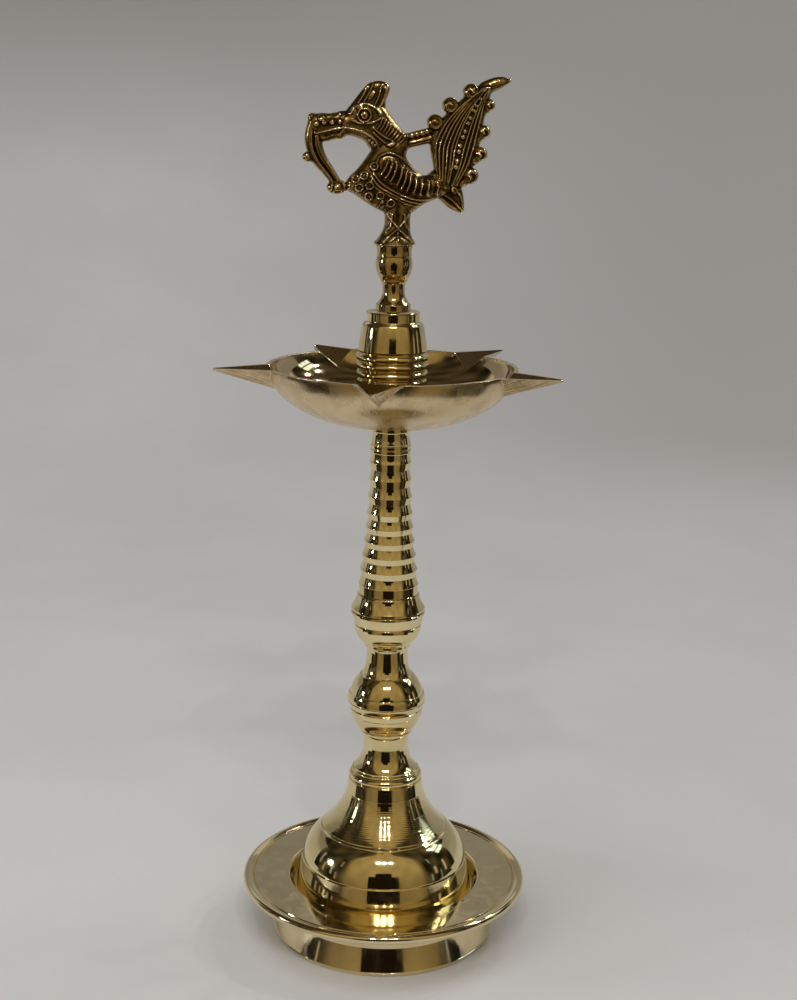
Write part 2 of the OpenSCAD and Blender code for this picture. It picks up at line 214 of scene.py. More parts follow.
class Nodes:
    """Short names for building a node tree."""

    def __init__(self, name):
        self.mat = bpy.data.materials.new(name)
        self.mat.use_nodes = True
        self.tree = self.mat.node_tree
        self.tree.nodes.clear()
        self.out = self.tree.nodes.new("ShaderNodeOutputMaterial")
        self.bsdf = self.tree.nodes.new("ShaderNodeBsdfPrincipled")
        self.link(self.bsdf.outputs[0], self.out.inputs[0])
        self.coord = self.tree.nodes.new("ShaderNodeTexCoord")
        self.uv = self.coord.outputs["UV"]
        self.place = self.scaled(self.coord.outputs["Object"], (1000, 1000, 1000))

    def link(self, a, b):
        self.tree.links.new(a, b)

    def put(self, socket, value):
        if isinstance(value, bpy.types.NodeSocket):
            self.link(value, socket)
        else:
            socket.default_value = value

    def scaled(self, vector, factors, turn=(0, 0, 0)):
        n = self.tree.nodes.new("ShaderNodeMapping")
        self.link(vector, n.inputs["Vector"])
        n.inputs["Scale"].default_value = factors
        n.inputs["Rotation"].default_value = turn
        return n.outputs[0]

    def textured(self, kind, source, socket, size, **settings):
        """A texture node fed from source, with lumps about size mm across."""
        n = self.tree.nodes.new(kind)
        if socket == "W":
            n.noise_dimensions = "1D"
        self.link(source, n.inputs[socket])
        n.inputs["Scale"].default_value = 1.0 / size
        for name, value in settings.items():
            n.inputs[name].default_value = value
        return n

    def noise(self, vector, size, detail=3.0, rough=0.55, distort=0.0):
        """Noise from 0 to 1."""
        n = self.textured("ShaderNodeTexNoise", vector, "Vector", size, Detail=detail, Roughness=rough,
                          Distortion=distort)
        return n.outputs["Fac"]

    def lines(self, value, size, detail=4.0, rough=0.7):
        """Noise along one number, for lines cut at right angles to it."""
        return self.textured("ShaderNodeTexNoise", value, "W", size, Detail=detail, Roughness=rough).outputs["Fac"]

    def cells(self, vector, size):
        return self.textured("ShaderNodeTexVoronoi", vector, "Vector", size)

    def marked(self, name):
        """The number that mark() stored for each vertex."""
        n = self.tree.nodes.new("ShaderNodeAttribute")
        n.attribute_name = name
        return n.outputs["Fac"]

    def split(self, vector):
        n = self.tree.nodes.new("ShaderNodeSeparateXYZ")
        self.link(vector, n.inputs[0])
        return n.outputs

    def math(self, what, a, b=0.0):
        n = self.tree.nodes.new("ShaderNodeMath")
        n.operation = what
        self.put(n.inputs[0], a)
        self.put(n.inputs[1], b)
        return n.outputs[0]

    def times(self, a, b):
        return self.math("MULTIPLY", a, b)

    def plus(self, a, b):
        return self.math("ADD", a, b)

    def minus(self, a, b):
        return self.math("SUBTRACT", a, b)

    def spread(self, value, low, high, to_low=0.0, to_high=1.0):
        """Value from low..high mapped to to_low..to_high, clamped, with soft ends."""
        n = self.tree.nodes.new("ShaderNodeMapRange")
        n.interpolation_type = "SMOOTHSTEP"
        self.link(value, n.inputs["Value"])
        for socket, v in zip(("From Min", "From Max", "To Min", "To Max"), (low, high, to_low, to_high)):
            n.inputs[socket].default_value = v
        return n.outputs["Result"]

    def mix(self, share, a, b):
        """Colour a towards colour b."""
        n = self.tree.nodes.new("ShaderNodeMix")
        n.data_type = "RGBA"
        self.put(n.inputs["Factor"], share)
        for socket, v in ((n.inputs[6], a), (n.inputs[7], b)):
            self.put(socket, v if isinstance(v, bpy.types.NodeSocket) else (*v, 1))
        return n.outputs[2]

    def bump(self, *layers):
        """Normal from pairs of (height 0..1, depth in mm)."""
        normal = None
        for height, depth in layers:
            n = self.tree.nodes.new("ShaderNodeBump")
            n.inputs["Strength"].default_value = 1.0
            n.inputs["Distance"].default_value = depth * MM
            self.link(height, n.inputs["Height"])
            if normal is not None:
                self.link(normal, n.inputs["Normal"])
            normal = n.outputs[0]
        self.link(normal, self.bsdf.inputs["Normal"])

    def surface(self, colour, rough, metallic=1.0):
        for name, value in (("Base Color", colour), ("Roughness", rough), ("Metallic", metallic)):
            self.put(self.bsdf.inputs[name], value)


BRASS = (0.86, 0.735, 0.41)
DULL = (0.60, 0.46, 0.19)
BROWN = (0.15, 0.085, 0.028)


def turned_brass(name, rough=0.07, colour=BRASS, lines=0.0009, waves=0.010, tarnish=0.35, pits=0.0, scratches=0.4):
    """Polished brass off a lathe: turning lines along the outline, faint waves, tarnish in patches, fine scratches."""
    m = Nodes(name)
    v = m.split(m.uv)[1]
    broad = m.noise(m.place, 17, 3)
    fine = m.noise(m.place, 2.6, 4, 0.62)
    smear = m.noise(m.scaled(m.place, (1, 1, 0.35), (0.3, 0.5, 0.1)), 7, 3, 0.6, 0.6)
    base = m.mix(m.spread(broad, 0.36, 0.72, 0, tarnish), colour, DULL)
    base = m.mix(m.spread(fine, 0.52, 0.78, 0, 0.16), base, (0.52, 0.40, 0.19))
    # fine scratches in two directions
    one = m.noise(m.scaled(m.place, (1, 1, 0.06), (0.5, 0.2, 0.3)), 0.5, 1.5, 0.5)
    two = m.noise(m.scaled(m.place, (0.06, 1, 1), (0.1, 0.9, -0.4)), 0.6, 1.5, 0.5)
    hair_one = m.minus(1.0, m.spread(m.math("ABSOLUTE", m.minus(one, 0.5)), 0.0, 0.02))
    hair_two = m.minus(1.0, m.spread(m.math("ABSOLUTE", m.minus(two, 0.47)), 0.0, 0.016))
    worn = m.spread(broad, 0.42, 0.6)
    hair = m.times(m.math("MAXIMUM", hair_one, hair_two), worn)
    roughness = m.plus(m.spread(smear, 0.35, 0.75, rough * 0.6, rough * 1.9), m.times(hair, 0.10 * scratches))
    ring = m.lines(v, 0.42)
    long_ring = m.lines(v, 2.2, 2.0)
    layers = [(broad, waves), (long_ring, lines * 3), (ring, lines), (m.minus(1.0, hair), 0.0006 * scratches)]
    if pits:
        spot = m.cells(m.place, 2.3)
        where = m.spread(m.noise(m.place, 12, 2), 0.58, 0.66)
        size = m.times(m.spread(m.split(spot.outputs["Color"])[0], 0.5, 1.0), 0.34)
        pit = m.times(m.math("LESS_THAN", spot.outputs["Distance"], size), where)
        x, _, z = m.split(m.place)
        pit = m.times(pit, m.times(m.spread(z, 24, 25, 0, pits), m.spread(x, -35, 25, 0.15, 1)))
        base = m.mix(m.times(pit, 0.8), base, BROWN)
        roughness = m.plus(roughness, m.times(pit, 0.3))
        layers.append((m.minus(1.0, pit), 0.02))
    m.surface(base, roughness)
    m.bump(*layers)
    return m.mat


def threaded_brass(name):
    m = Nodes(name)
    fine = m.noise(m.place, 1.1, 4, 0.6)
    oil = m.noise(m.place, 6, 3)
    base = m.mix(m.spread(oil, 0.35, 0.7, 0.15, 0.7), (0.74, 0.60, 0.32), (0.33, 0.24, 0.10))
    m.surface(base, m.spread(fine, 0.3, 0.8, 0.22, 0.45))
    m.bump((fine, 0.006), (m.noise(m.scaled(m.place, (1, 1, 6)), 0.7, 3), 0.004))
    return m.mat


def zinc_steel(name):
    m = Nodes(name)
    flake = m.cells(m.place, 1.6)
    grime = m.noise(m.place, 4.5, 4, 0.6)
    base = m.mix(m.spread(m.split(flake.outputs["Color"])[1], 0.0, 1.0, 0, 0.35), (0.56, 0.57, 0.58),
                 (0.42, 0.43, 0.45))
    base = m.mix(m.spread(grime, 0.52, 0.75, 0, 0.7), base, (0.12, 0.09, 0.06))
    m.surface(base, m.spread(grime, 0.35, 0.75, 0.24, 0.55))
    m.bump((grime, 0.015), (m.noise(m.scaled(m.place, (1, 1, 0.2)), 0.6, 2), 0.004))
    return m.mat


def fibre(name):
    m = Nodes(name)
    weave = m.noise(m.scaled(m.place, (1, 1, 5)), 0.8, 4, 0.7)
    oil = m.noise(m.place, 5, 3)
    base = m.mix(m.spread(weave, 0.35, 0.7), (0.20, 0.055, 0.03), (0.33, 0.12, 0.07))
    base = m.mix(m.spread(oil, 0.45, 0.7, 0, 0.7), base, (0.06, 0.02, 0.012))
    m.surface(base, m.spread(oil, 0.35, 0.75, 0.7, 0.35), 0.0)
    m.bump((weave, 0.05))
    return m.mat


def paper(name):
    m = Nodes(name)
    mottle = m.noise(m.place, 160, 4, 0.55)
    grain = m.noise(m.place, 3.5, 3, 0.6)
    base = m.mix(m.spread(mottle, 0.3, 0.7), (0.70, 0.695, 0.69), (0.745, 0.735, 0.73))
    base = m.mix(m.spread(grain, 0.45, 0.8, 0, 0.25), base, (0.66, 0.65, 0.645))
    # painted shade: the sheet is greyer high up and towards the right, where less light reaches it
    x, _, z = m.split(m.place)
    base = m.mix(m.spread(z, 230, 560), base, (0.42, 0.41, 0.395))
    base = m.mix(m.times(m.spread(x, -300, 420), m.spread(z, 0, 70, 0.25, 1)), base, (0.50, 0.485, 0.475))
    m.surface(base, 0.55, 0.0)
    m.bump((grain, 0.05))
    return m.mat


def emitter(name):
    """A material that only gives off light, and its emission node, for the room that the brass reflects."""
    m = bpy.data.materials.new(name)
    m.use_nodes = True
    t = m.node_tree
    t.nodes.clear()
    out = t.nodes.new("ShaderNodeOutputMaterial")
    e = t.nodes.new("ShaderNodeEmission")
    t.links.new(e.outputs[0], out.inputs[0])
    m.cycles.emission_sampling = "NONE"
    return m, e


def glow(name, colour, strength=1.0):
    m, e = emitter(name)
    e.inputs[0].default_value = (*colour, 1)
    e.inputs[1].default_value = strength
    return m


# ---------- room ----------

def only_reflected(ob):
    """The brass mirrors it; nothing else sees it."""
    for ray in ("camera", "diffuse", "transmission", "volume_scatter", "shadow"):
        setattr(ob, "visible_" + ray, False)


def card(name, centre, width, height, mat, facing=(0, 0, MIDDLE)):
    """Upright rectangle in metres that faces a point."""
    c = np.array(centre, float)
    d = np.array(facing, float) - c
    d /= np.linalg.norm(d)
    side = np.cross((0, 0, 1), d)
    side /= np.linalg.norm(side)
    up = np.cross(d, side)
    corners = [c + side * sx * width / 2 + up * sy * height / 2 for sx, sy in ((-1, -1), (1, -1), (1, 1), (-1, 1))]
    ob = new_mesh(name, corners, [(0, 1, 2, 3)])
    ob.data.materials.append(mat)
    only_reflected(ob)


def around_lamp(azimuth, elevation, far):
    """Point in metres at a distance from the lamp: azimuth 0 is the lamp's front, positive to its right."""
    a, e = math.radians(azimuth), math.radians(elevation)
    return (far * math.sin(a) * math.cos(e), -far * math.cos(a) * math.cos(e), MIDDLE + far * math.sin(e))


def soft(x, lo, hi):
    s = np.clip((x - lo) / (hi - lo), 0, 1)
    return s * s * (3 - 2 * s)


def room_shell():
    """Dome of dim room round the lamp, warm in front and dark at the sides, that only the brass sees."""
    m, e = emitter("room_glow")
    colour = m.node_tree.nodes.new("ShaderNodeVertexColor")
    colour.layer_name = "room"
    m.node_tree.links.new(colour.outputs[0], e.inputs[0])
    cols, rows, far = 240, 120, 2.6
    az = np.radians(np.linspace(-180, 180, cols, endpoint=False))
    el = np.radians(np.linspace(-89, 90, rows))
    a, b = np.meshgrid(az, el)
    verts = np.stack([far * np.sin(a) * np.cos(b), -far * np.cos(a) * np.cos(b), MIDDLE + far * np.sin(b)], -1)
    ob = new_mesh("room_shell", verts.reshape(-1, 3), ring_quads(rows, cols, inward=True).reshape(-1, 4))
    deg_a, deg_b = np.degrees(a).ravel(), np.degrees(b).ravel()
    # the warm front closes overhead, and the pale wall behind narrows upward
    closing = 22 * soft(deg_b, 45, 75)
    front = 1 - soft(np.abs(deg_a), 50 - closing, 64 - closing)
    narrower = 1.1 * np.clip(deg_b - 8, 0, 40)
    back = soft(np.abs(deg_a), 110 + narrower, 121 + narrower)
    high = soft(deg_b, 34, 46)
    patch = 0.5 + 0.5 * np.sin(deg_a / 5.0 + 1.3) * np.cos(deg_b / 7.0 + 0.6 * np.sin(deg_a / 9.0))
    dark = np.array([0.030, 0.024, 0.014])
    warm = np.array([0.31, 0.235, 0.115])
    pale = np.array([0.52, 0.50, 0.455])
    above = np.array([0.055, 0.042, 0.024])
    c = dark[None] * (0.35 + 2.4 * patch[:, None] ** 2)
    lit = (0.72 + 0.45 * soft(deg_b, -10, 30))[:, None] * (0.85 + 0.25 * patch[:, None])
    for colour, share in ((warm[None] * lit, front), (above[None] * (0.5 + 0.9 * patch[:, None]), high * (1 - front)),
                          (pale[None], back * (1 - high))):
        c = c + (colour - c) * share[:, None]
    layer = ob.data.color_attributes.new("room", "FLOAT_COLOR", "POINT")
    layer.data.foreach_set("color", np.concatenate([c, np.ones((len(c), 1))], 1).astype(np.float32).ravel())
    ob.data.materials.append(m)
    only_reflected(ob)


def sheet_of_paper():
    """Pale sheet, flat round the lamp and curving up into a wall behind it. The brass sees only a part of it."""
    flat, bend, top = 0.60, 0.85, 2.2
    rings = [0.02, 0.10, 0.24, 0.30, 0.45, flat]
    rise = arc(flat, bend, bend, -85, 0, 17)
    p = np.array([(r, 0.0) for r in rings] + rise + [(flat + bend, top)])
    q = np.array([(r, 0.0) for r in rings] + [(flat + 0.20 * (i + 1), 0.0) for i in range(len(rise))] + [(6.0, 0.0)])
    cols = 144
    az = np.linspace(0, 2 * np.pi, cols, endpoint=False)
    # one towards the back, nothing towards the front
    share = soft(np.sin(az), -0.30, 0.10)
    r = q[:, None, 0] * (1 - share) + p[:, None, 0] * share
    z = p[:, None, 1] * share
    verts = np.stack([r * np.cos(az), r * np.sin(az), z], -1).reshape(-1, 3)
    quads = ring_quads(len(p), cols, inward=True)
    # degrees from the front, and how far out the brass sees the sheet there
    beta = np.abs(np.degrees(np.arctan2(np.cos(az), -np.sin(az))))
    reach = np.select([beta < 75, beta < 100, beta < 112], [0.24, 0.30, flat], 9.0)
    seen = (p[1:, 0][:, None] <= reach[None, :] + 1e-6) & (p[1:, 1][:, None] < bend + 0.01)
    mat = paper("paper")
    hub = [tuple(range(cols))]
    for name, faces, caps, mirrored in (("paper_near", quads[seen], hub, True), ("paper_far", quads[~seen], [], False)):
        ob = new_mesh(name, verts, faces, caps)
        ob.data.materials.append(mat)
        ob.visible_glossy = mirrored


def lamp(name, at, size, power, colour=(1, 1, 1), aim=(0, 0, MIDDLE), mirrored=True):
    data = bpy.data.lights.new(name, "AREA")
    data.shape = "RECTANGLE"
    data.size, data.size_y = size
    data.energy = power
    data.color = colour
    ob = bpy.data.objects.new(name, data)
    ob.location = at
    look = np.array(aim, float) - np.array(at, float)
    ob.rotation_euler = Vector(look).to_track_quat("-Z", "Y").to_euler()
    ob.visible_camera = False
    ob.visible_glossy = mirrored
    bpy.context.scene.collection.objects.link(ob)


def build_room():
    sheet_of_paper()
    room_shell()
    dark = glow("dark_cloth", (0.010, 0.007, 0.004))
    card("photographer", (-0.02, -0.74, -0.145), 0.56, 0.91, dark, facing=(-0.02, 0, -0.145))
    card("photographer_hands", (-0.02, -0.73, 0.355), 0.30, 0.11, dark, facing=(-0.02, 0, 0.355))
    pane = glow("window_light", (0.72, 0.90, 1.0), 2.0)
    for i in range(3):
        for k in range(2):
            card(f"pane_{i}_{k}", around_lamp(100 + 6.5 * i, 27 + 9 * k, 1.7), 0.15, 0.20, pane)
    strip = glow("shelf_light", (0.62, 0.52, 0.36), 0.8)
    blue = glow("grey_light", (0.35, 0.40, 0.42), 0.8)
    for i, (q, h, w, t) in enumerate(((-70, -2, 0.05, 0.30), (-78, 4, 0.10, 0.42), (-92, 0, 0.06, 0.34),
                                      (-101, 9, 0.09, 0.5), (-66, 22, 0.04, 0.3),
                                      (68, -4, 0.06, 0.30), (76, 5, 0.11, 0.34), (84, -6, 0.05, 0.36),
                                      (93, 3, 0.10, 0.46), (72, 26, 0.05, 0.3))):
        card(f"shelf_{i}", around_lamp(q, h, 1.6), w, t, (strip, blue)[i % 2])
    # the ceiling lamps that sparkle on every edge
    for i, q in enumerate((-11, 0, 11)):
        lamp(f"ceiling_{i}", around_lamp(q, 47, 1.7), (0.07, 0.07), 2.2, (1, 0.985, 0.95))
    lamp("left_lamp", around_lamp(-84, 12, 1.6), (0.12, 0.16), 2.2, (0.97, 0.98, 1))
    for i, (q, h) in enumerate(((98, 40), (111, 47), (126, 41), (139, 48))):
        lamp(f"right_lamp_{i}", around_lamp(q, h, 1.2), (0.07, 0.056), 0.7, (1, 0.99, 0.96))
    lamp("overhead", (-0.35, -0.25, 1.5), (1.1, 1.1), 4.9, (1, 0.99, 0.985), aim=(0, 0.2, 0), mirrored=False)
    lamp("floor_wash", (-0.9, -0.7, 1.0), (0.8, 0.8), 2.0, (1, 0.995, 0.99), aim=(-0.1, 0.5, 0), mirrored=False)
    world = bpy.data.worlds.new("room_air")
    world.use_nodes = True
    world.node_tree.nodes["Background"].inputs[0].default_value = (0.62, 0.61, 0.60, 1)
    world.node_tree.nodes["Background"].inputs[1].default_value = 0.41
    bpy.context.scene.world = world


def build_camera():
    data = bpy.data.cameras.new("camera")
    data.sensor_width = 36
    data.lens = 56.77
    ob = bpy.data.objects.new("camera", data)
    pitch, yaw, roll = math.radians(13.336), math.radians(-2.12), math.radians(1.074)
    turn = Matrix.Rotation(yaw, 3, "Z") @ Matrix.Rotation(math.pi / 2 - pitch, 3, "X") @ Matrix.Rotation(roll, 3, "Z")
    ob.rotation_euler = turn.to_euler()
    ob.location = (-0.0210, -0.6690, 0.3599)
    bpy.context.scene.collection.objects.link(ob)
    bpy.context.scene.camera = ob
    view = bpy.context.scene.view_settings
    view.view_transform = "Standard"
    view.look = "None"


# ---------- base ----------

def plate_outline():
    plate_r, top, foot, rim_t, well = 64.5, 25.5, 50.3, 1.9, 16.4
    rim_c, cut, under = plate_r - rim_t, plate_r - 5, top - 3
    line = [(14, well), (44.2, well)] + arc(44.2, 14.0, 2.4, 90, 0) + [(46.8, 1), (47.4, 0), (foot - 0.8, 0)]
    line = drawn(line + arc(foot - 0.7, 0.7, 0.7, -90, 0), (foot, 1.3), (foot - 0.35, 1.6),
                 ((48.3, 6.0), (46.5, 11.0), (45.5, 16.0), 30), ((45.2, 18.0), (46.6, 19.9), (49.8, 20.5), 24),
                 ((52.4, 21.8), (56, under - 0.2), (rim_c, under), 20))
    line += arc(rim_c, under + rim_t, rim_t, -90, 110, 26) + [(rim_c - 1.5, top + 0.3), (rim_c - 2.1, top)]
    # the engraved circle
    line += [(cut + 0.42, top), (cut, top - 0.75), (cut - 0.42, top), (52, top - 0.04), (46.5, top)]
    line += arc(44.2, top - 1.4, 1.4, 90, 160)
    line += curve((42.8, top - 1), (42, top - 3), (41.6, 20.0), (40.6, 19.4), 14)
    return line + [(6.3, 19.4), (6.3, well), (14, well)]


def dome_outline():
    low, neck, bore, steps = 19.45, 49.4, 6.0, 56
    tool = np.random.default_rng(3)
    line = [(0, 7), (5.4, 7), (bore, 7.6)] + thread_rings(bore, 7.8, 14.2, 1.5, -0.5) + [(bore, low)]
    line = drawn(line, (8, low), (8, 61), ((12, 61), (14, 59), (16.5, 55.5), 8), ((22, 47), (32.5, 46), (33.8, 36), 12),
                 ((34.5, 30), (36.3, 26), (36.9, low), 8), (40.1, low), (40.2, low + 0.9),
                 ((39.4, 25), (38.3, 29.6), (37.5, 33.9), 26), (37.12, 34.4), (37.4, 34.9),
                 ((36.3, 40), (33.4, 45.4), (29.2, 48.3), 40), (28.8, 48.7), (29.0, 49.1), (28.3, neck),
                 (27.9, neck + 0.3), (28.0, neck + 0.7))
    # the flare keeps the steps of the turning tool
    flare = np.array(curve(line[-1], (22.8, 54.6), (18.9, 60.5), (17.3, 66.5), 230))
    step = np.cumsum(tool.uniform(0.45, 0.95, steps)) + neck + 1.2
    deep = tool.uniform(0.25, 1.0, steps)
    which = np.searchsorted(step, flare[:, 1])
    here = np.clip(which, 0, steps - 1)
    lo = np.where(which > 0, step[np.clip(which - 1, 0, steps - 1)], neck)
    phase = (flare[:, 1] - lo) / (step[here] - lo)
    fade = np.clip((flare[:, 1] - neck - 1) / 1.5, 0, 1)
    flare[:, 0] -= 0.05 * deep[here] * fade * (1 - np.abs(np.sin(np.pi * phase)))
    line += [tuple(p) for p in flare] + [(16.7, BASE_H - 5), (16.4, BASE_H - 3.7), (15.8, BASE_H - 3.6)]
    return line + arc(14.6, BASE_H - 1.9, 1.9, -55, 90, 22) + tapped_top(BASE_H, tip=13.9)


# ---------- stems ----------

def lower_stem_outline():
    tall = CUP_Z - BASE_H
    line = tapped_foot(18.5, 17.8, 0.65, GAP) + [(14.8, GAP)] + arc(14.6, 0.8, 0.65, -90, 90)
    line = drawn(line, (14.3, 1.6), (14.3, 2.1), ((11.6, 4.6), (10.2, 8), (10.1, 12)),
                 ((10.1, 15), (10.3, 17.2), (11.0, 18.4), 14), (11.6, 18.6), (11.7, 19.6), (11.5, 19.9),
                 ((13.4, 21.4), (14.9, 24), (15.6, 27.2), 16), (16.0, 27.6), (16.2, 30.0), (15.8, 30.4), (16.3, 30.8),
                 ((16.7, 31.6), (17.1, 32.4), (17.4, 33.4), 8), (17.1, 33.6), (17.45, 33.9),
                 ((17.5, 35.2), (17.3, 36.5), (16.7, 37.6), 12), (16.35, 37.7), (16.3, 38.0),
                 ((15.2, 41.6), (13.6, 43.8), (11.9, 45.6), 18), (11.3, 45.7), (11.2, 46.2),
                 ((9.6, 48.6), (9.2, 51.5), (9.2, 55), 18), (9.25, 57.2), (9.4, 58.4), (9.9, 59.2), (10.4, 59.4),
                 (10.5, 60.6), (10.9, 61.2), (11.4, 61.4), ((13.4, 63), (14.7, 65.4), (14.9, 69.2), 18),
                 (14.5, 69.7), (15.15, 70.1), ((15.5, 71.6), (15.9, 73.2), (16.4, 74.4), 10),
                 (16.4, tall - 0.35), (16.1, tall))
    return line + tapped_top(tall)


# the edge of each rib on the upper stem, from the lowest, and the waist under its collar
RIBS = [(13.3, 12.3), (12.7, 19.1), (11.95, 25.6), (11.15, 32.0), (10.5, 38.2),
        (10.0, 44.6), (9.65, 51.8), (9.25, 59.6), (9.05, 67.1)]
COLLAR = (8.45, 71.2)


def upper_stem_outline():
    tall, edge, hollow, cone = BOWL_Z - CUP_Z - GAP, 0.7, 0.16, 0.58
    r, z = RIBS[0]
    line = drawn(tapped_foot(21, 20.2, 0.65, GAP), (15.9, GAP), (16.3, 0.6), (16.3, 1.5),
                 ((15.4, 3.0), (14.3, 4.8), (13.8, 7.4), 18), (13.5, 7.9), (13.1, 8.3), (13.0, 11.2),
                 (r - edge / 2, z - 0.12))
    # each rib's cone is a little hollow, and the waist above it opens to the next rib's edge
    for (r, z), (up_r, up_z) in zip(RIBS, [(r - edge, z) for r, z in RIBS[1:]] + [COLLAR]):
        turn_z = z + (up_z - z) * cone
        line += [(r, z)] + [(r + (up_r - r) * t - hollow * math.sin(math.pi * t), z + (turn_z - z) * t)
                            for t in (0.25, 0.5, 0.75, 1.0)]
    line = drawn(line, COLLAR, (8.85, 71.5), (8.85, 72.6), (8.4, 72.9), (8.7, 73.3), (8.75, 74.6), (8.3, 74.9),
                 (8.55, 75.4), (8.5, 76.0), ((8.0, 77.6), (8.1, 79.6), (8.5, 80.6), 10), (8.9, 80.9),
                 ((9.0, 81.8), (9.2, 82.4), (9.4, tall - 0.3), 6), (9.2, tall))
    return line + tapped_top(tall)


# ---------- bell and neck ----------

def bell_outline():
    tall, ring_r, out, floor = NECK_Z - BELL_Z, 1.75, 15.5, 7.2
    line = tapped_foot(23, 22.2, 0.5, 0) + [(16.2, 0)] + arc(16.2, 1.2, 1.2, -80, 70)
    line += curve((16.6, 2.4), (15.6, 3.4), (15.2, 6), (15.1, 14.2), 14)
    for z in (16.9, 20.6, 24.1):
        line += arc(out - ring_r, z, ring_r, -75, 75, 22)
    line += curve((14.9, 26.4), (14.5, 30), (14.0, 34), (13.2, 37.4), 18)
    line = drawn(line, ((13.0, 38.2), (12.4, 38.8), (11.5, 39.0), 12), (11.3, 39.3), (11.25, tall - 0.7),
                 (11.5, tall - 0.3), (11.3, tall), (10.9, tall), (8.6, tall - 0.25), (FINE_TAP + 0.45, tall - 0.25),
                 (FINE_TAP, tall - 0.7))
    line += thread_rings(FINE_TAP, tall - 0.9, tall - 6.6, 1.0, 0.35)
    return line + [(FINE_TAP, tall - floor), (0, tall - floor)]


def neck_outline():
    tall = BIRD_Z - NECK_Z
    line = [(0, 12.5), (FINE_TAP, 12.5)] + thread_rings(FINE_TAP, 12.0, 1.2, 1.0, 0.35)
    line += [(FINE_TAP, 0.6), (FINE_TAP + 0.45, GAP), (7.4, GAP), (7.45, 2.7)] + arc(6.9, 2.8, 0.55, 0, 80, 8)
    line += curve((7.0, 3.4), (5.6, 4.6), (4.7, 6.4), (4.7, 9.2), 20)
    return drawn(line, ((4.7, 10.8), (5.0, 12.0), (5.5, 12.7), 12), (5.8, 12.9), (5.7, 13.3),
                 ((6.6, 14.6), (7.1, 15.8), (7.3, 17.0), 12), ((7.9, 18.6), (7.9, 20.8), (7.3, 22.8), 18),
                 (7.0, 23.0), (7.4, 23.4), ((7.2, 24.6), (7.3, 26.2), (7.8, tall - 0.4), 12),
                 (7.6, tall), (3.05, tall), (3.05, tall - 7.5), (0, tall - 7.5))


# ---------- studs ----------

def stud_mesh(name, low, high, r, pitch):
    """Rod with a helical thread, its ends bevelled."""
    deep, bevel, around = pitch * 0.5, r * 0.22, 72
    rows = int((high - low) / (pitch / 9)) + 1
    z = np.linspace(low, high, rows)[:, None]
    a = np.linspace(0, 2 * np.pi, around, endpoint=False)[None, :]
    phase = (z / pitch - a / (2 * np.pi)) % 1.0
    cut = np.clip(2.2 * (0.5 - np.abs(phase - 0.5)) - 0.05, 0, 1)
    rr = r - deep * cut
    end = np.minimum(z - low, high - z)
    rr = np.minimum(rr, r - np.maximum(0, bevel - end))
    verts = np.stack([rr * np.cos(a), rr * np.sin(a), z + 0 * a], -1).reshape(-1, 3)
    n = len(verts)
    verts = np.concatenate([verts, [(0, 0, low), (0, 0, high)]]) * MM
    foot = np.arange(around)
    tris = np.concatenate([fan(n, foot, flip=True), fan(n + 1, (rows - 1) * around + foot)])
    return new_mesh(name, verts, ring_quads(rows, around).reshape(-1, 4), tris)


# ---------- bowl ----------

BOWL_RIM, BOWL_TOP, BOWL_HOLE, BOWL_FLAT, BOWL_WALL = 54.0, 25.2, 5.3, 14, 3
# degrees round to the first spout, mm out to its root, degrees that its sides slope
SPOUT_TURN, SPOUT_ROOT, SPOUT_SLANT = -97.8, 50.0, 52
SPOUT_REACH = (76.3, 76.6, 76.2, 72.4, 76.5)      # the back left one was filed shorter


def cut_by(path, level):
    """The path up to where it passes above level(r), and whether it ever does."""
    f = path[:, 1] - level(path[:, 0])
    over = np.nonzero((f[1:] >= 0) & (f[:-1] < 0))[0]
    if not len(over):
        return path, False
    i = over[0]
    t = -f[i] / (f[i + 1] - f[i])
    return np.concatenate([path[:i + 1], [path[i] * (1 - t) + path[i + 1] * t]]), True


def length(path):
    return float(np.hypot(*np.diff(path, axis=0).T).sum())


def smoothed(path, step=0.08, sigma=0.15):
    """The path in equal steps with its corners worn round."""
    s = np.concatenate([[0], np.cumsum(np.hypot(*np.diff(path, axis=0).T))])
    n = int(s[-1] / step) + 1
    t = np.linspace(0, s[-1], n)
    p = np.stack([np.interp(t, s, path[:, 0]), np.interp(t, s, path[:, 1])], -1)
    half = int(4 * sigma / step)
    k = np.exp(-0.5 * (np.arange(-half, half + 1) * step / sigma) ** 2)
    k /= k.sum()
    pad = np.concatenate([2 * p[0] - p[half:0:-1], p, 2 * p[-1] - p[-2:-half - 2:-1]])
    return t, np.stack([np.convolve(pad[:, c], k, "valid") for c in (0, 1)], -1)


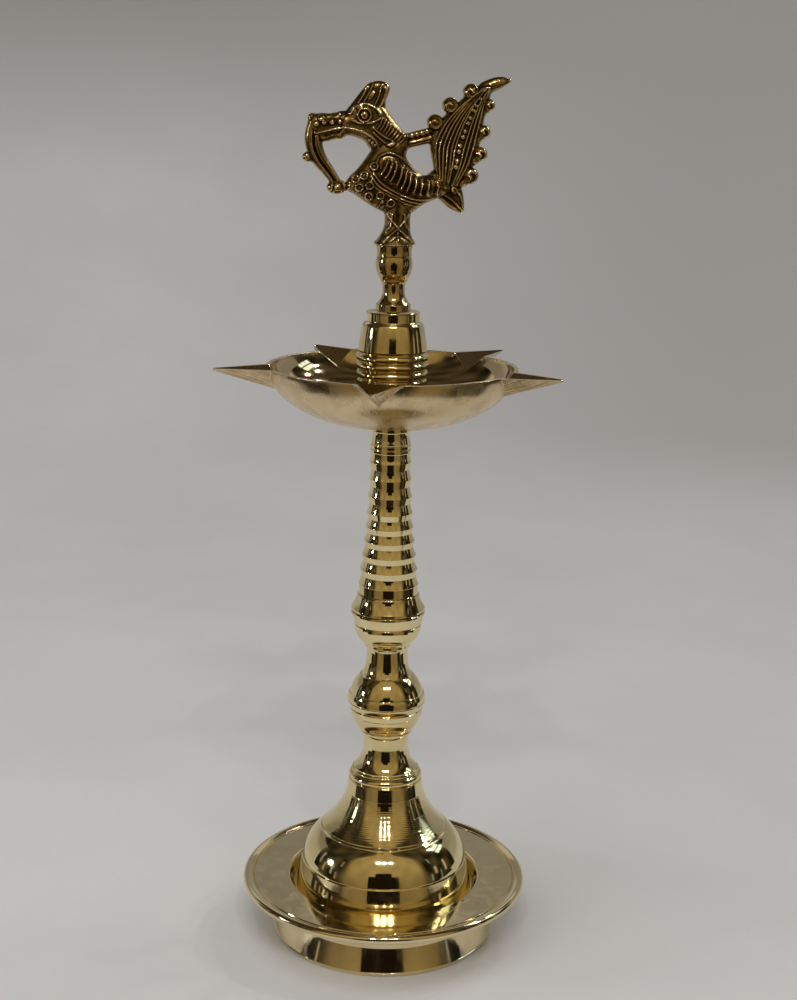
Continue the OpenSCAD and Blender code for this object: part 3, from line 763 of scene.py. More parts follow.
def bowl_section(phi, reach, ripple):
    """Closed section of the bowl at an angle phi from a spout's middle, outside first, how far along it each point is,
    and whether it is on the spout's filed side."""
    c, s = math.cos(phi), abs(math.sin(phi))
    outer = np.array(drawn([(BOWL_HOLE, 0), (BOWL_FLAT, 0)],
                           ((31, 0.8), (51.0, 9.0), (BOWL_RIM, 24.2), 60), (BOWL_RIM, BOWL_TOP)))
    inner = np.array(drawn([(BOWL_HOLE, BOWL_WALL), (BOWL_FLAT, BOWL_WALL)],
                           ((30.5, 3.6), (49.0, 11.3), (52.0, 24.2), 60), (52.2, BOWL_TOP)))

    def trough(r, root_z, rise, much):
        """Height of a V that climbs from the root to the tip."""
        slope = rise / (reach - SPOUT_ROOT)
        side = 1 / (math.tan(math.radians(SPOUT_SLANT)) * math.cos(math.atan(slope)))
        return root_z + (r * c - SPOUT_ROOT) * slope + r * s * side + ripple(r * c, r * s, much)

    def flank(r):
        return trough(r, 15.8, 8.5, 1.0)

    def channel(r):
        return np.maximum(trough(r, 18.0, 6.6, 0.35), 24.45 + (r * c - reach + 0.8) * 2.5)

    end = (reach - 0.45 * min(1.0, (reach * s / 1.0) ** 2)) / c
    rr = np.linspace(44, end, 400)

    def side_path(wall, level):
        kept, crossed = cut_by(wall, level)
        if not crossed:
            return kept, math.inf
        beyond = rr[rr > kept[-1, 0] + 0.02]
        z = level(beyond)
        stop = np.nonzero(z >= BOWL_TOP)[0]
        if len(stop):
            k = stop[0]
            r0 = beyond[k - 1] if k else kept[-1, 0]
            z0 = z[k - 1] if k else kept[-1, 1]
            t = (BOWL_TOP - z0) / max(1e-9, z[k] - z0)
            more = np.concatenate([np.stack([beyond[:k], z[:k]], -1), [(r0 + (beyond[k] - r0) * t, BOWL_TOP)]])
        else:
            more = np.stack([beyond, z], -1)
        return np.concatenate([kept, more]), length(kept)

    out_path, out_crease = side_path(outer, flank)
    in_path, in_crease = side_path(inner, channel)
    out_len, in_len = length(out_path), length(in_path)
    out_crease, in_crease = min(out_crease, out_len - 1.6), min(in_crease, in_len - 1.6)
    # from the outer edge up the tip's end, if it is the tip, and over the land to the channel
    land = [out_path[-1]]
    if out_path[-1, 1] < BOWL_TOP - 1e-6:
        land.append(np.array([out_path[-1, 0], BOWL_TOP]))
    land_len = length(np.array(land)) if len(land) > 1 else 0.0
    top = max(0.05, float(np.hypot(*(in_path[-1] - land[-1]))))
    path = np.concatenate([out_path, np.array(land[1:]).reshape(-1, 2), in_path[::-1]])
    e = min(0.6, 0.3 * top)
    total = length(path)
    w = 0.45
    marks = [0, out_crease - w, out_crease + w, out_len - e, out_len + land_len + e,
             total - in_len - e, total - in_len + e, total - in_crease - w, total - in_crease + w, total]
    t, p = smoothed(path)
    p[0], p[-1] = path[0], path[-1]
    at = [0.0]
    for lo, hi, n in zip(marks, marks[1:], (26, 5, 40, 9, 4, 9, 34, 5, 24)):
        at += list(np.linspace(lo, hi, n + 1)[1:])
    at = np.array(at) * (t[-1] / total)
    on_flank = (at > marks[2]) & (at < marks[3]) if out_path[-1, 0] > BOWL_RIM + 0.05 else np.zeros(len(at), bool)
    return np.stack([np.interp(at, t, p[:, 0]), np.interp(at, t, p[:, 1])], -1), at, on_flank


def bowl_mesh(name):
    # degrees from a spout's middle, closest together near it
    half = np.concatenate([16 * np.linspace(0, 1, 42) ** 1.35, np.linspace(16, 36, 22)[1:]])
    local = np.concatenate([-half[:0:-1], half[:-1]])
    columns, turns, ats, flanks = [], [], [], []
    for i, reach in enumerate(SPOUT_REACH):
        phase = rng.uniform(0, 6.28, 8)
        wave = rng.uniform(1.5, 3.6, 5)

        def ripple(x, y, much):
            """Uneven file strokes across a flank, stronger towards the root."""
            bump = sum(np.sin(x * 2 * np.pi / w + p + 0.5 * y) for w, p in zip(wave, phase))
            return much * 0.030 * bump * np.clip((x - 52.5) / 3, 0, 1) * np.clip((reach - x) / 6, 0, 1)

        for q in local:
            section, at, on = bowl_section(math.radians(q), reach, ripple)
            columns.append(section)
            ats.append(at)
            flanks.append(on)
            turns.append(math.radians(SPOUT_TURN + 72 * i + q))
    p = np.array(columns)
    a = np.array(turns)[:, None]
    r, z = p[..., 0], p[..., 1]
    # the rim was cut and filed by hand
    near_rim = np.clip((z - 16) / 9, 0, 1) * np.clip((r - 40) / 8, 0, 1)
    z = z - near_rim * (0.09 + 0.05 * np.sin(9 * a + 0.4) + 0.04 * np.sin(23 * a + 1.7))
    belly = np.clip((r - 16) / 10, 0, 1)
    r = r - belly * (0.06 + 0.04 * np.sin(4 * a + 0.13 * z) + 0.02 * np.sin(11 * a + 0.5 * z))
    verts = np.stack([r * np.cos(a), r * np.sin(a), z + BOWL_Z], -1).reshape(-1, 3) * MM
    m, n = p.shape[:2]
    i = np.arange(m)[:, None]
    k = (i + 1) % m
    j = np.arange(n)[None, :]
    l = (j + 1) % n
    quads = np.stack([i * n + j, k * n + j, k * n + l, i * n + l], -1).reshape(-1, 4)
    u = np.unwrap(np.array(turns)) * BOWL_RIM
    u_next = np.append(u[1:], u[0] + 2 * np.pi * BOWL_RIM)
    v = np.array(ats)
    v_next = np.concatenate([v[1:], v[:1]])
    w, w_next = np.roll(v, -1, 1), np.roll(v_next, -1, 1)
    w[:, -1] = v[:, -1] + 3
    w_next[:, -1] = v_next[:, -1] + 3
    uu, un = u[:, None] + 0 * v, u_next[:, None] + 0 * v
    uv = np.stack([uu, v, un, v_next, un, w_next, uu, w], -1).reshape(-1, 2)
    ob = new_mesh(name, verts, quads, (), uv)
    mark(ob, "filed", np.array(flanks))
    return ob


def filed_brass(name):
    """The bowl: pale brass dressed with a file outside, a duller mirror inside."""
    m = Nodes(name)
    filed = m.marked("filed")
    broad = m.noise(m.place, 13, 3)
    fine = m.noise(m.place, 1.9, 4, 0.6)
    v = m.split(m.uv)[1]
    outside = m.minus(1.0, m.spread(v, 61.5, 65))
    stroke_a = m.noise(m.scaled(m.uv, (1.0, 0.045, 1), (0, 0, 0.72)), 0.55, 3, 0.6)
    stroke_b = m.noise(m.scaled(m.uv, (1.0, 0.06, 1), (0, 0, -0.85)), 0.7, 3, 0.6)
    where = m.spread(m.noise(m.place, 9, 3), 0.42, 0.62)
    strokes = m.times(m.mix(where, (0, 0, 0), (1, 1, 1)), stroke_a)
    strokes = m.plus(strokes, m.times(stroke_b, 0.45))
    base = m.mix(m.spread(broad, 0.35, 0.7, 0, 0.45), (0.78, 0.62, 0.38), (0.56, 0.41, 0.21))
    base = m.mix(m.spread(fine, 0.55, 0.8, 0, 0.35), base, (0.58, 0.43, 0.22))
    base = m.mix(m.times(filed, m.spread(stroke_a, 0.42, 0.62)), base, (0.44, 0.30, 0.15))
    rough = m.plus(m.spread(fine, 0.3, 0.8, 0.05, 0.11), m.times(outside, m.spread(strokes, 0.3, 0.8, 0.16, 0.30)))
    m.surface(base, m.plus(rough, m.times(filed, 0.08)))
    lifted = m.times(strokes, outside)
    m.bump((broad, 0.02), (m.lines(v, 0.5), 0.0012), (lifted, 0.007), (m.times(filed, stroke_a), 0.05))
    return m.mat


def build_bowl():
    stand_in(bowl_mesh("bowl_piece"), "oil_bowl", "bowl", filed_brass("filed_brass"))


# ---------- bird ----------
# Its plane is XZ; points are (x, z) in mm from the foot of its pedestal.

def flowing(points, n=7, closed=False):
    """Smooth line through a few points."""
    p = np.array(points, float)
    p = np.concatenate([p[-1:], p, p[:2]]) if closed else np.concatenate([2 * p[:1] - p[1:2], p, 2 * p[-1:] - p[-2:-1]])
    out = []
    for a, b, c, d in zip(p, p[1:], p[2:], p[3:]):
        for t in np.arange(n) / n:
            bend, twist = 2 * a - 5 * b + 4 * c - d, 3 * b - a - 3 * c + d
            out.append(0.5 * (2 * b + (c - a) * t + bend * t * t + twist * t ** 3))
    if not closed:
        out.append(p[-2])
    return np.array(out)


class Plane:
    """Grid over the bird's plane, for outlines and relief."""

    def __init__(self, x, z, step):
        self.x, self.z = np.arange(*x, step), np.arange(*z, step)
        self.X, self.Z = np.meshgrid(self.x, self.z, indexing="ij")

    def near(self, points, margin):
        lo, hi = points.min(0) - margin, points.max(0) + margin
        return (slice(*np.searchsorted(self.x, (lo[0], hi[0]))), slice(*np.searchsorted(self.z, (lo[1], hi[1]))))

    def away(self, points, margin=6.0, closed=False):
        """Distance from a line and where along it (0 to 1); a closed line has a negative distance inside."""
        q = np.array(points, float)
        dist, along = np.full(self.X.shape, margin), np.zeros(self.X.shape)
        w = self.near(q, margin)
        X, Z = self.X[w], self.Z[w]
        best, where, inside = np.full(X.shape, 1e9), np.zeros(X.shape), np.zeros(X.shape, bool)
        ends = np.concatenate([q, q[:1]]) if closed else q
        n = len(ends) - 1
        for i, (a, b) in enumerate(zip(ends, ends[1:])):
            d = b - a
            if not d.any():
                continue
            t = np.clip(((X - a[0]) * d[0] + (Z - a[1]) * d[1]) / (d @ d), 0, 1)
            e = (X - a[0] - t * d[0]) ** 2 + (Z - a[1] - t * d[1]) ** 2
            less = e < best
            best[less], where[less] = e[less], ((i + t) / n)[less]
            if closed and a[1] != b[1]:
                inside ^= ((a[1] > Z) != (b[1] > Z)) & (X < (b[0] - a[0]) * (Z - a[1]) / (b[1] - a[1]) + a[0])
        best = np.minimum(np.sqrt(best), margin)
        dist[w] = np.where(inside, -best, best) if closed else best
        along[w] = where
        return dist, along

    def stroke(self, points, wide, high, n=7):
        """A raised line (sunk if high is negative) with a round section, fading at its ends."""
        d, t = self.away(flowing(points, n), 4 * wide)
        return high * np.exp(-(d / wide) ** 2) * np.clip(np.minimum(t, 1 - t) / 0.06 + 0.35, 0, 1)

    def turned(self, at, turn):
        """Distances from a point along two axes turned by an angle."""
        c, s = math.cos(turn), math.sin(turn)
        return (self.X - at[0]) * c + (self.Z - at[1]) * s, (self.Z - at[1]) * c - (self.X - at[0]) * s

    def bead(self, at, r, high, long=1.0, turn=0.0):
        """A round lump, or an oval one."""
        u, v = self.turned(at, turn)
        return high * np.sqrt(np.clip(1 - (u / (r * long)) ** 2 - (v / r) ** 2, 0, 1))

    def ring(self, at, r, wide, high):
        """A raised ring round a hollow."""
        rho = np.hypot(self.X - at[0], self.Z - at[1])
        return high * np.exp(-((rho - r) / wide) ** 2) - 0.5 * high * np.exp(-(rho / (0.6 * r)) ** 2)


def between(a, b, share):
    """Line part of the way from line a to line b, both smoothed."""
    a, b = flowing(a), flowing(b)
    t = np.linspace(0, 1, 40)
    pick = [np.stack([np.interp(t, np.linspace(0, 1, len(q)), q[:, c]) for c in (0, 1)], -1) for q in (a, b)]
    return pick[0] * (1 - share) + pick[1] * share


class Casting:
    """The bird's parts over its plane, each as (section term, half thickness, scale, exponent, lowest height)."""

    def __init__(self, plane):
        self.plane, self.parts = plane, []

    def add(self, section, thick, scale, power=2, low=None):
        self.parts.append((section, thick, scale, power, low))

    def slab(self, outline, thick, edge, relief=0.0):
        """A flat part whose edge is rounded over some distance."""
        d, _ = self.plane.away(flowing(outline, 6, True), 6.0, True)
        self.add(np.clip(1 + d / edge, 0, None) ** 2, thick + relief, min(thick, edge))

    def tube(self, points, radii, thick=1.0, relief=0.0):
        d, t = self.plane.away(flowing(points), 7.0)
        r = np.interp(t, np.linspace(0, 1, len(radii)), radii)
        self.add((d / r) ** 2, r * thick + relief, min(radii))

    def ball(self, at, r, thick=None, long=1.0, turn=0.0, relief=0.0):
        u, v = self.plane.turned(at, turn)
        self.add((u / (r * long)) ** 2 + (v / r) ** 2, (thick or r) + relief, r)

    def curl(self, at, r, wide, start, way=1):
        """Rolled leaf end: a short drum with a spiral groove in its face."""
        dx, dz = self.plane.X - at[0], self.plane.Z - at[1]
        rho, a = np.hypot(dx, dz), np.arctan2(dz, dx)
        coil = np.cos(way * a - start - rho / r * 5.2)
        face = 0.45 * coil * np.clip(1.15 - rho / r, 0, 1) ** 0.5 + 0.5 * np.exp(-(rho / (0.3 * r)) ** 2)
        self.add((rho / r) ** 2, wide + face, r, 3.2)


def add_body(b):
    """Body, with the wing panel, its border and the scaled chest."""
    g = b.plane
    wing = [(-6.9, 34), (-3.4, 36), (1.6, 34.4), (6, 30.6), (11, 28.2), (17.6, 27.6), (19.6, 24.4), (19, 20.8),
            (12, 19.7), (5, 21.4), (-1, 24.3), (-5.8, 28.2)]
    wing_top = [(-3.3, 34.6), (1.2, 32.9), (5.6, 29.7), (10.3, 27.4), (17.2, 26.9)]
    wing_low = [(-6.4, 28.6), (-1.4, 25.3), (3.6, 22.3), (9.2, 20.6), (17.0, 21.2)]
    panel, _ = g.away(flowing(wing, 6, True), 3.0, True)
    body = 0.35 * np.clip(-panel / 0.8, -0.5, 1)
    for i in range(10):
        lo, hi = (between(edge, edge, 0)[int(i / 9 * 39)] for edge in (wing_low, wing_top))
        bow = (lo + hi) / 2 + np.array([0.5, 0.0])
        body += g.stroke([lo, bow, hi], 0.74, 1.7)
    for drop, high in ((0.0, 0.85), (1.5, 0.75), (2.8, 0.35)):
        body += g.stroke([(-9.3 - drop * 0.55, 29.4 - drop), (-6.2 - drop * 0.45, 25.6 - drop), (-1.8, 22.7 - drop),
                          (4, 20 - drop), (10, 18.6 - drop * 0.9), (16, 19.3 - drop * 0.6), (20, 21 - drop * 0.3)],
                         0.42, high)
    body += g.stroke([(-8.2, 33.2), (-6.8, 36.2), (-3, 37.6), (2, 36), (6.6, 32), (11.6, 29.6), (17, 29)], 0.42, 0.8)
    scales = [(-15.0, 23.4), (-10.7, 24.3), (-6.3, 20.4), (-11.0, 19.8), (-1.9, 17.2), (-13.2, 28.4), (-9.0, 32.2),
              (-16.6, 27.0)]
    for c in scales:
        body += g.ring(c, 1.45, 0.42, 0.85)
        body += g.bead(c, 0.6, 0.35)
    nodules = np.random.default_rng(11)
    for _ in range(150):
        at = (nodules.uniform(-19.5, 12), nodules.uniform(13, 34))
        if at[1] > 26 + (-9 - at[0]) * 1.0 or min(math.hypot(at[0] - c[0], at[1] - c[1]) for c in scales) < 2.3:
            continue
        if at[0] > -9 and at[1] > 19.8 - 0.5 * (at[0] + 9) * (at[0] < 6):
            continue
        body += g.bead(at, nodules.uniform(0.45, 0.85), nodules.uniform(0.2, 0.5))
    b.slab([(-18.6, 28.6), (-20.6, 25.6), (-20.5, 22.4), (-17.4, 20.6), (-14.2, 18.5), (-9.6, 15.6), (-6.0, 13.9),
            (-3, 12.6), (3, 12.2), (7, 13.3), (12.1, 16.9), (17.9, 19.4), (21.5, 20.4), (24, 24), (20.5, 28.6),
            (15.9, 31), (12.4, 28.8), (8.8, 30.6), (6.2, 33), (4.3, 36.4), (4.9, 39.6), (4, 44), (-2, 45),
            (-7.6, 42.4), (-10.4, 38.6), (-13.6, 34.0), (-16.4, 30.6)], 5.5, 6.0, body)


def add_head(b):
    """Head and neck."""
    g = b.plane
    head = g.bead((-13.3, 52.6), 1.7, 1.5) + g.ring((-13.3, 52.6), 2.7, 0.42, 0.7)
    head += g.stroke([(-19.4, 52.6), (-17.4, 56.0), (-13.2, 57.4), (-9.0, 55.8), (-6.4, 52.8)], 0.6, 0.9)
    head += g.stroke([(-18.5, 50.6), (-14.6, 49.2), (-10.2, 49.6), (-6.6, 51.4)], 0.4, 0.6)
    head += g.stroke([(-22, 47.6), (-18, 47.0), (-13, 45.6), (-9, 43.0), (-7.4, 40.4)], 0.55, 0.95)
    head += g.bead((-15.4, 56.6), 1.9, 0.9)
    for i in range(9):
        t = i / 8
        c = np.array([-6.9 + 9.6 * t, 49.4 - 6.2 * t])
        lean = np.array([0.42 + 0.25 * t, 0.88 - 0.12 * t]) * (2.6 - 0.5 * t)
        head += g.stroke([c - lean, c + np.array([0.3, 0]), c + lean], 0.30, 0.75)
    head += g.stroke([(-9.6, 47.4), (-5.4, 44.4), (0.4, 41.4)], 0.36, 0.7)
    head += g.stroke([(-9.4, 45.4), (-6, 42.6), (-0.6, 38.8)], 0.3, 0.5)
    head += g.bead((-2.3, 41.0), 1.15, 1.7, 1.9, 0.15)
    for i in range(6):
        head += g.bead((-11.0 + 1.15 * i, 42.6 - 1.0 * i), 0.62, 0.5)
    b.slab([(-10.4, 38.8), (-13.3, 42.2), (-19.5, 44.3), (-24, 43.6), (-24.5, 48), (-23.4, 53), (-20.9, 53.9),
            (-18.4, 56.6), (-13, 58.8), (-7.6, 58), (-4.7, 55.6), (-1.4, 51.3), (3.6, 45.5), (5.6, 42.2), (4.6, 38.4),
            (-2, 36)], 4.5, 4.3, head)


def add_beak(b):
    """Beak with its nodules."""
    g = b.plane
    beak = g.stroke([(-34, 44.8), (-30.5, 45.6), (-26, 46.8), (-21, 47.4)], 0.6, 1.0)
    for at, r in (((-31.0, 51.3), 1.4), ((-28.0, 52.3), 1.3), ((-24.6, 52.4), 1.4), ((-21.4, 51.6), 1.3),
                  ((-29.6, 49.3), 1.0), ((-26.6, 49.6), 1.1), ((-23.3, 49.8), 1.0), ((-32.8, 48.8), 1.1)):
        beak += g.bead(at, 1.12 * r, 1.35)
    b.slab([(-21, 44), (-25.3, 42.7), (-29.4, 41.6), (-32.4, 42.6), (-36.0, 46), (-36.5, 49.6), (-35, 52.2),
            (-31.5, 53.2), (-27.5, 53.2), (-20, 53.8)], 3.5, 4.0, beak)
    b.ball((-34.7, 51.2), 2.0)


def add_strand(b):
    """Strand from the beak to the bulb, with a groove along it."""
    g = b.plane
    strand = [(-33.3, 47.6), (-34.1, 43.2), (-33.5, 38.6), (-31.4, 34.2), (-28.6, 30.6), (-26.2, 27.4), (-24.6, 25.0)]
    line = g.stroke(strand, 0.6, -1.3) + g.stroke([(p[0] + 1.9, p[1] + 0.6) for p in strand], 0.4, 0.5)
    b.tube(strand, (3.7, 3.8, 3.5, 3.1, 2.6, 2.3, 2.2), 0.86, line)
    b.ball((-36.8, 35.4), 2.05)
    b.tube([(-36.8, 35.4), (-33.4, 34.4)], (1.3, 1.6))
    bands = g.stroke([(-26.6, 20.8), (-25.6, 24), (-26.4, 27)], 0.42, -0.8)
    bands += g.stroke([(-22.4, 20), (-21.8, 23.4), (-22.6, 26)], 0.42, -0.8)
    bands += g.bead((-24.1, 23.8), 1.2, 0.8, 1.2)
    b.ball((-24.2, 23.4), 2.9, 3.4, 1.55, 0.08, bands)


def add_crest(b):
    """Crest."""
    g = b.plane
    crest = g.bead((-10.4, 60.6), 1.0, 0.9, 2.4, 1.0)
    for foot, tip in (((-17.4, 55.4), (-12.2, 64.6)), ((-15.2, 55.6), (-9.6, 65.6)), ((-9.4, 55.8), (-6.2, 65.6)),
                      ((-7.2, 55.4), (-4.2, 63.6))):
        mid = ((foot[0] + tip[0]) / 2 + 0.5, (foot[1] + tip[1]) / 2)
        crest += g.stroke([foot, mid, tip], 0.42, 0.75)
    b.slab([(-20.9, 53.2), (-18.4, 57.6), (-14.4, 62.7), (-12.2, 65.1), (-9.5, 66.2), (-7, 66.5), (-4.2, 65.7),
            (-2.8, 63.8), (-3.5, 61), (-4.5, 58.4), (-4.8, 55), (-8, 52), (-14, 51)], 2.7, 2.6, crest)


def add_tail(b):
    """Tail with its veins, row of beads and rolled leaf ends."""
    g = b.plane
    left = [(18, 24), (17.2, 32), (17.0, 41), (20.0, 48.5), (24.8, 54.8), (30.8, 60.8), (37, 65.2)]
    right = [(25.6, 25), (30.2, 33), (33.0, 42), (34.8, 51), (36.4, 58.8), (38.4, 64.8)]
    tail = np.zeros(g.X.shape)
    for share, high in ((-0.04, 0.7), (0.07, 0.8), (0.18, 0.75), (0.29, 0.8), (0.40, 0.6), (0.485, 0.9), (0.72, 0.9),
                        (0.83, 0.7), (0.95, 0.7)):
        tail += g.stroke(between(left, right, share), 0.42, high, 1)
    row = between(left, right, 0.60)
    for i in range(11):
        tail += g.bead(row[7 + int(i * 2.55)], 1.15 - 0.03 * i, 1.1)
    b.slab([(15.7, 31.2), (14.8, 35.6), (14.0, 39.4), (13.9, 44), (15.6, 48.4), (19.2, 52.6), (23.4, 56.8),
            (28.4, 61.4), (34.6, 66.0), (39.6, 65.6), (38.6, 61.2), (37.2, 56), (36.0, 50), (35.0, 43.5), (33.6, 37),
            (31.2, 30.6), (27.6, 25.6), (24.6, 22.6), (18.4, 21), (16.4, 26)], 3.3, 2.6, tail)
    for at, r, start in (((15.9, 50.2), 3.4, 0.6), ((22.0, 57.1), 3.4, 0.4), ((30.4, 62.7), 3.4, 0.2)):
        b.curl(at, r, 4.3, start, 1)
    for at, r, start in (((38.1, 57.5), 2.6, 2.5), ((36.1, 46.8), 2.9, 2.2), ((35.0, 37.8), 3.0, 1.9),
                         ((31.0, 28.9), 3.5, 1.6)):
        b.curl(at, r, 4.2, start, -1)
    b.curl((24.2, 22.9), 1.9, 3.6, 1.2, -1)
    for stalk, radii, thick in (([(31.8, 42.0), (33.4, 43.4), (35.6, 46.4)], (1.3, 1.9, 1.8), 1.7),
                                ([(30.0, 33.6), (32.2, 34.8), (34.6, 37.4)], (1.3, 1.9, 1.9), 1.7),
                                ([(25.6, 24.8), (28.0, 26.0), (30.6, 28.6)], (1.3, 1.9, 1.9), 1.7),
                                ([(33.8, 53.4), (35.6, 54.6), (37.8, 57.2)], (1.2, 1.7, 1.7), 1.8)):
        b.tube(stalk, radii, thick)
    b.tube([(36.2, 64.2), (40.5, 66.1), (43.6, 67.0), (45.9, 67.4)], (2.9, 2.7, 2.1, 1.05), 1.05)


def add_leaf(b):
    """Leaf below the tail."""
    g = b.plane
    veins = g.stroke([(19.2, 21.6), (23.6, 18.8), (28, 14.6)], 0.42, 0.9)
    veins += g.stroke([(18.8, 19.6), (22.6, 16.6), (27.2, 14.2)], 0.36, 0.7)
    veins += g.stroke([(24.8, 23.6), (27.4, 19.6), (28.2, 15.6)], 0.36, 0.7)
    b.slab([(17.6, 20.2), (20, 22.8), (24, 25), (27.3, 24.1), (28.6, 20), (28.9, 15.6), (27.7, 13.5), (22.6, 15.4),
            (19, 18.4)], 2.4, 2.4, veins)


def add_bridge(b):
    """Bridge from the nape to the tail, a beaded rope over a plain bar."""
    b.tube([(1.5, 40.6), (6, 41.6), (11, 42.8), (17, 44.4)], (2.0, 1.8, 1.8, 2.2), 1.15)
    b.tube([(2.6, 43.6), (8, 45.2), (14.5, 46.8)], (1.2, 1.2, 1.3), 1.2)
    for i in range(6):
        b.ball((4.4 + 2.05 * i, 44.3 + 0.56 * i), 1.45, 1.9)


def add_pedestal(b):
    """Pedestal with crossed leaves, and its peg."""
    g = b.plane
    leaves = np.zeros(g.X.shape)
    for a in ([(-5.5, 1.2), (-1.5, 4.6), (2.4, 8.2), (5.8, 13)], [(7.6, 1.2), (4, 4.4), (0.4, 8.2), (-3.6, 13)],
              [(1, 1.6), (1.3, 5), (1.4, 8)], [(-3.6, 6), (-1.6, 9), (-1.4, 13)], [(6, 6), (4.2, 9), (4, 13)],
              [(-2.8, 1.4), (1.2, 3.8), (4.8, 1.4)]):
        leaves += g.stroke(a, 0.42, 0.75)
    outline = np.array(drawn([(8.8, -0.6)], (8.8, 0.5), (8.6, 1.2), ((6.5, 3.2), (5.5, 5.6), (5.4, 9.5), 12),
                             ((5.4, 12), (5.6, 14), (6.4, 17), 8), (5, 22)))
    r = np.interp(g.Z, outline[:, 1], outline[:, 0])
    shift = 1.1 * np.clip(g.Z / 8, 0, 1) ** 1.2
    thick = np.minimum(r, 5.6 + 3.0 * np.clip(1 - g.Z / 4, 0, 1)) + leaves
    b.add(((g.X - shift) / r) ** 2, thick, 5.0, low=0.0)
    b.add((g.X / 3.0) ** 2, 3.0 + 0 * g.X, 3.0, low=-7.0)


def bird_parts(plane):
    """The bird's castings, in the order in which they run into each other."""
    b = Casting(plane)
    for add in (add_body, add_head, add_beak, add_strand, add_crest, add_tail, add_leaf, add_bridge, add_pedestal):
        add(b)
    return b.parts


def nets(f, at):
    """Quads through the zero surface of a field that is the mirror of itself across its first layer of cells."""
    inside = f < 0
    corner = [(a, b, c) for a in (0, 1) for b in (0, 1) for c in (0, 1)]
    n = np.array(f.shape) - 1
    count = sum(inside[a:n[0] + a, b:n[1] + b, c:n[2] + c].astype(np.int8) for a, b, c in corner)
    cell = np.argwhere((count > 0) & (count < 8))
    ids = np.full(n, -1, np.int64)
    ids[tuple(cell.T)] = np.arange(len(cell))
    total, hits = np.zeros((len(cell), 3)), np.zeros(len(cell))
    for a in corner:
        for axis in range(3):
            if a[axis]:
                continue
            b = tuple(1 if k == axis else v for k, v in enumerate(a))
            fa, fb = f[tuple((cell + a).T)], f[tuple((cell + b).T)]
            cross = (fa < 0) != (fb < 0)
            t = np.where(cross, fa / np.where(cross, fa - fb, 1), 0)
            p = np.array(a, float) + t[:, None] * (np.array(b) - np.array(a))
            total += np.where(cross[:, None], p, 0)
            hits += cross
    where = cell + total / hits[:, None]
    quads = []
    for axis in range(3):
        u, v = [k for k in range(3) if k != axis]
        lo = [slice(None)] * 3
        hi = [slice(None)] * 3
        lo[axis], hi[axis] = slice(0, -1), slice(1, None)
        flips = np.argwhere(inside[tuple(lo)] != inside[tuple(hi)])
        low_u, low_v = flips[:, u], flips[:, v]
        flips = flips[(low_u >= 1) & (low_v >= 1) & (low_u < f.shape[u] - 1) & (low_v < f.shape[v] - 1)]
        ring = []
        for du, dv in ((-1, -1), (0, -1), (0, 0), (-1, 0)):
            c = flips.copy()
            c[:, u] += du
            c[:, v] += dv
            ring.append(ids[tuple(c.T)])
        q = np.stack(ring, -1)
        out = inside[tuple(flips.T)]
        turn = out if axis != 1 else ~out
        q[~turn] = q[~turn][:, ::-1]
        quads.append(q)
    return at(where), np.concatenate(quads), cell[:, 1] == 0


def neighbour_mean(p, quads):
    a = quads.ravel()
    b = np.roll(quads, -1, 1).ravel()
    i, j = np.concatenate([a, b]), np.concatenate([b, a])
    n = np.bincount(i, minlength=len(p))
    return np.stack([np.bincount(i, p[j, c], len(p)) for c in range(3)], -1) / n[:, None]


def bird_mesh(name):
    step, blend = 0.22, 0.3          # the grid, and how far one casting runs into the next
    g = Plane((-41, 49), (-8, 70.5), step)
    y = (np.arange(int(9.6 / step)) - 0.5) * step
    f = None
    for section, thick, scale, power, low in bird_parts(g):
        thick = np.maximum(thick + 0 * g.X, 0.35)
        s = section.astype(np.float32)[:, None, :]
        t = thick.astype(np.float32)[:, None, :]
        flat = np.abs(y).astype(np.float32)[None, :, None] / t
        v = np.sqrt(s + flat ** 2) if power == 2 else (s ** (power / 2) + flat ** power) ** (1 / power)
        v = (v - 1) * scale
        if low is not None:
            top = 1.0 if low < -1 else 19.0
            v = np.maximum(v, np.maximum(low - g.Z, g.Z - top).astype(np.float32)[:, None, :])
        if f is None:
            f = v
        else:
            h = np.clip(0.5 + 0.5 * (f - v) / blend, 0, 1)
            f = f + (v - f) * h - blend * h * (1 - h)
    p, quads, middle = nets(f, lambda w: np.stack([g.x[0] + w[:, 0] * step, (w[:, 1] - 0.5) * step,
                                                   g.z[0] + w[:, 2] * step], -1))
    p[middle, 1] = 0
    twin = np.where(middle, np.arange(len(p)), 0)
    twin[~middle] = len(p) + np.arange((~middle).sum())
    p = np.concatenate([p, p[~middle] * (1, -1, 1)])
    quads = np.concatenate([quads, twin[quads][:, ::-1]])
    for push in (0.5, -0.52, 0.5, -0.52):
        p = p + push * (neighbour_mean(p, quads) - p)
    rubbed = p
    for _ in range(9):
        rubbed = rubbed + 0.8 * (neighbour_mean(rubbed, quads) - rubbed)
    diag_a, diag_b = p[quads[:, 2]] - p[quads[:, 0]], p[quads[:, 3]] - p[quads[:, 1]]
    face = np.cross(diag_a, diag_b)
    normal = np.stack([np.bincount(quads.ravel(), np.repeat(face[:, c], 4), len(p)) for c in range(3)], -1)
    normal /= np.maximum(np.linalg.norm(normal, axis=1, keepdims=True), 1e-12)
    proud = ((p - rubbed) * normal).sum(1)
    ob = new_mesh(name, (p + (0, 0, BIRD_Z + 0.05)) * MM, quads)
    mark(ob, "proud", np.clip(0.5 + proud / 0.30, 0, 1))
    return ob


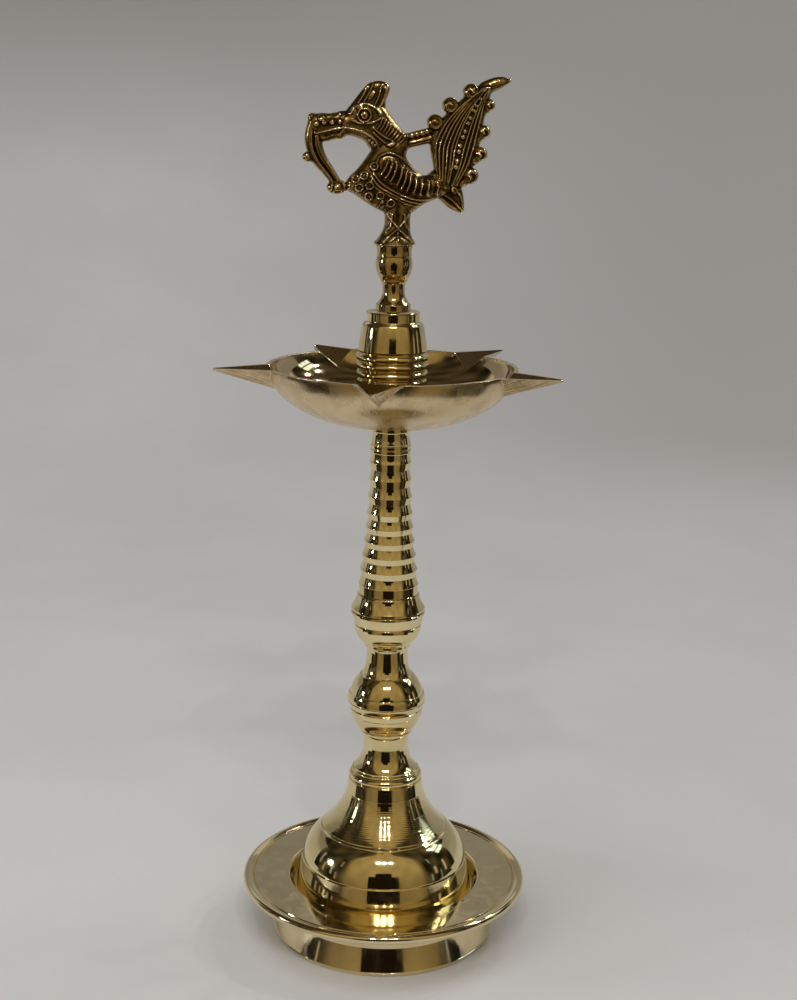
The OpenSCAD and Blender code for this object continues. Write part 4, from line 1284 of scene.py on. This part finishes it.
def antique_brass(name):
    """Cast brass left dark in its hollows and rubbed bright on its high points; the bright colour there is also a
    painted highlight.
    """
    m = Nodes(name)
    proud = m.marked("proud")
    patch = m.noise(m.place, 7, 3)
    grain = m.noise(m.place, 0.9, 4, 0.65)
    lift = m.plus(proud, m.times(m.minus(grain, 0.5), 0.25))
    # the colour of the high points is rubbed wear and also a painted highlight
    high = m.mix(m.spread(patch, 0.35, 0.7), (0.95, 0.80, 0.48), (0.80, 0.58, 0.27))
    mid = m.mix(m.spread(patch, 0.35, 0.7), (0.36, 0.25, 0.095), (0.26, 0.165, 0.06))
    base = m.mix(m.spread(lift, 0.32, 0.54), (0.05, 0.030, 0.012), mid)
    base = m.mix(m.spread(lift, 0.55, 0.80), base, high)
    m.surface(base, m.plus(m.spread(lift, 0.3, 0.7, 0.32, 0.10), m.spread(grain, 0.4, 0.8, 0, 0.10)))
    m.bump((grain, 0.06), (m.noise(m.place, 2.4, 3), 0.16))
    return m.mat


def build_bird():
    stand_in(bird_mesh("peacock_piece"), "peacock", "finial", antique_brass("antique_brass"))


# ---------- the lamp ----------

def build_turned():
    polished = turned_brass("polished_brass")
    plate_mat = turned_brass("plate_brass", rough=0.09, colour=(0.80, 0.68, 0.42), lines=0.0006, waves=0.016,
                             tarnish=0.25, pits=1.0)
    stem_mat = turned_brass("stem_brass", rough=0.06, lines=0.0012, waves=0.014)
    bell_mat = turned_brass("bell_brass", rough=0.08, lines=0.0010, waves=0.02, tarnish=0.6)
    neck_mat = turned_brass("neck_brass", rough=0.10, colour=(0.60, 0.47, 0.24), lines=0.002, waves=0.05, tarnish=0.7)

    def chatter(rr, zz, a):
        """Faint unevenness that a hand-held polishing wheel leaves."""
        return 0.035 * np.sin(3 * a + 0.11 * zz) + 0.02 * np.sin(5 * a - 0.23 * zz + 1.0) - 0.055

    for name, node, body, outline, worn, low, mat, *more in (
            ("plate", "base_plate", "base", plate_outline, 0.16, 0, plate_mat, chatter, AROUND_BASE),
            ("dome", "base_dome", "base", dome_outline, 0.10, 0, polished, None, AROUND_BASE),
            ("lower_stem", "lower_stem", "lower_section", lower_stem_outline, 0.2, BASE_H, stem_mat),
            ("upper_stem", "upper_stem", "upper_section", upper_stem_outline, 0.16, CUP_Z, stem_mat),
            ("bell", "bell_cap", "bell", bell_outline, 0.2, BELL_Z, bell_mat),
            ("neck", "finial_neck", "finial", neck_outline, 0.2, NECK_Z, neck_mat)):
        stand_in(revolve(name + "_piece", eased(outline(), worn), low, *more), node, body, mat)


def build_studs():
    mat = threaded_brass("threaded_brass")
    for node, body, pitch in (("lower_stud", "lower_thread", 1.5), ("middle_stud", "middle_thread", 1.5),
                              ("bowl_stud", "bowl_thread", 1.5), ("finial_stud", "finial_thread", 1.0)):
        lo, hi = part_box(node)
        r = (hi.x - lo.x) / 2 / MM
        stand_in(stud_mesh(node + "_piece", lo.z / MM, hi.z / MM, r, pitch), node, body, mat)


def finish_cad(node, mat):
    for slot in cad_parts[node].material_slots:
        slot.material = mat


def build_hidden():
    steel = zinc_steel("zinc_steel")
    finish_cad("base_washer", steel)
    finish_cad("base_nut", steel)
    finish_cad("bowl_seal", fibre("red_fibre"))


build_camera()
build_room()
build_turned()
build_bowl()
build_bird()
build_studs()
build_hidden()
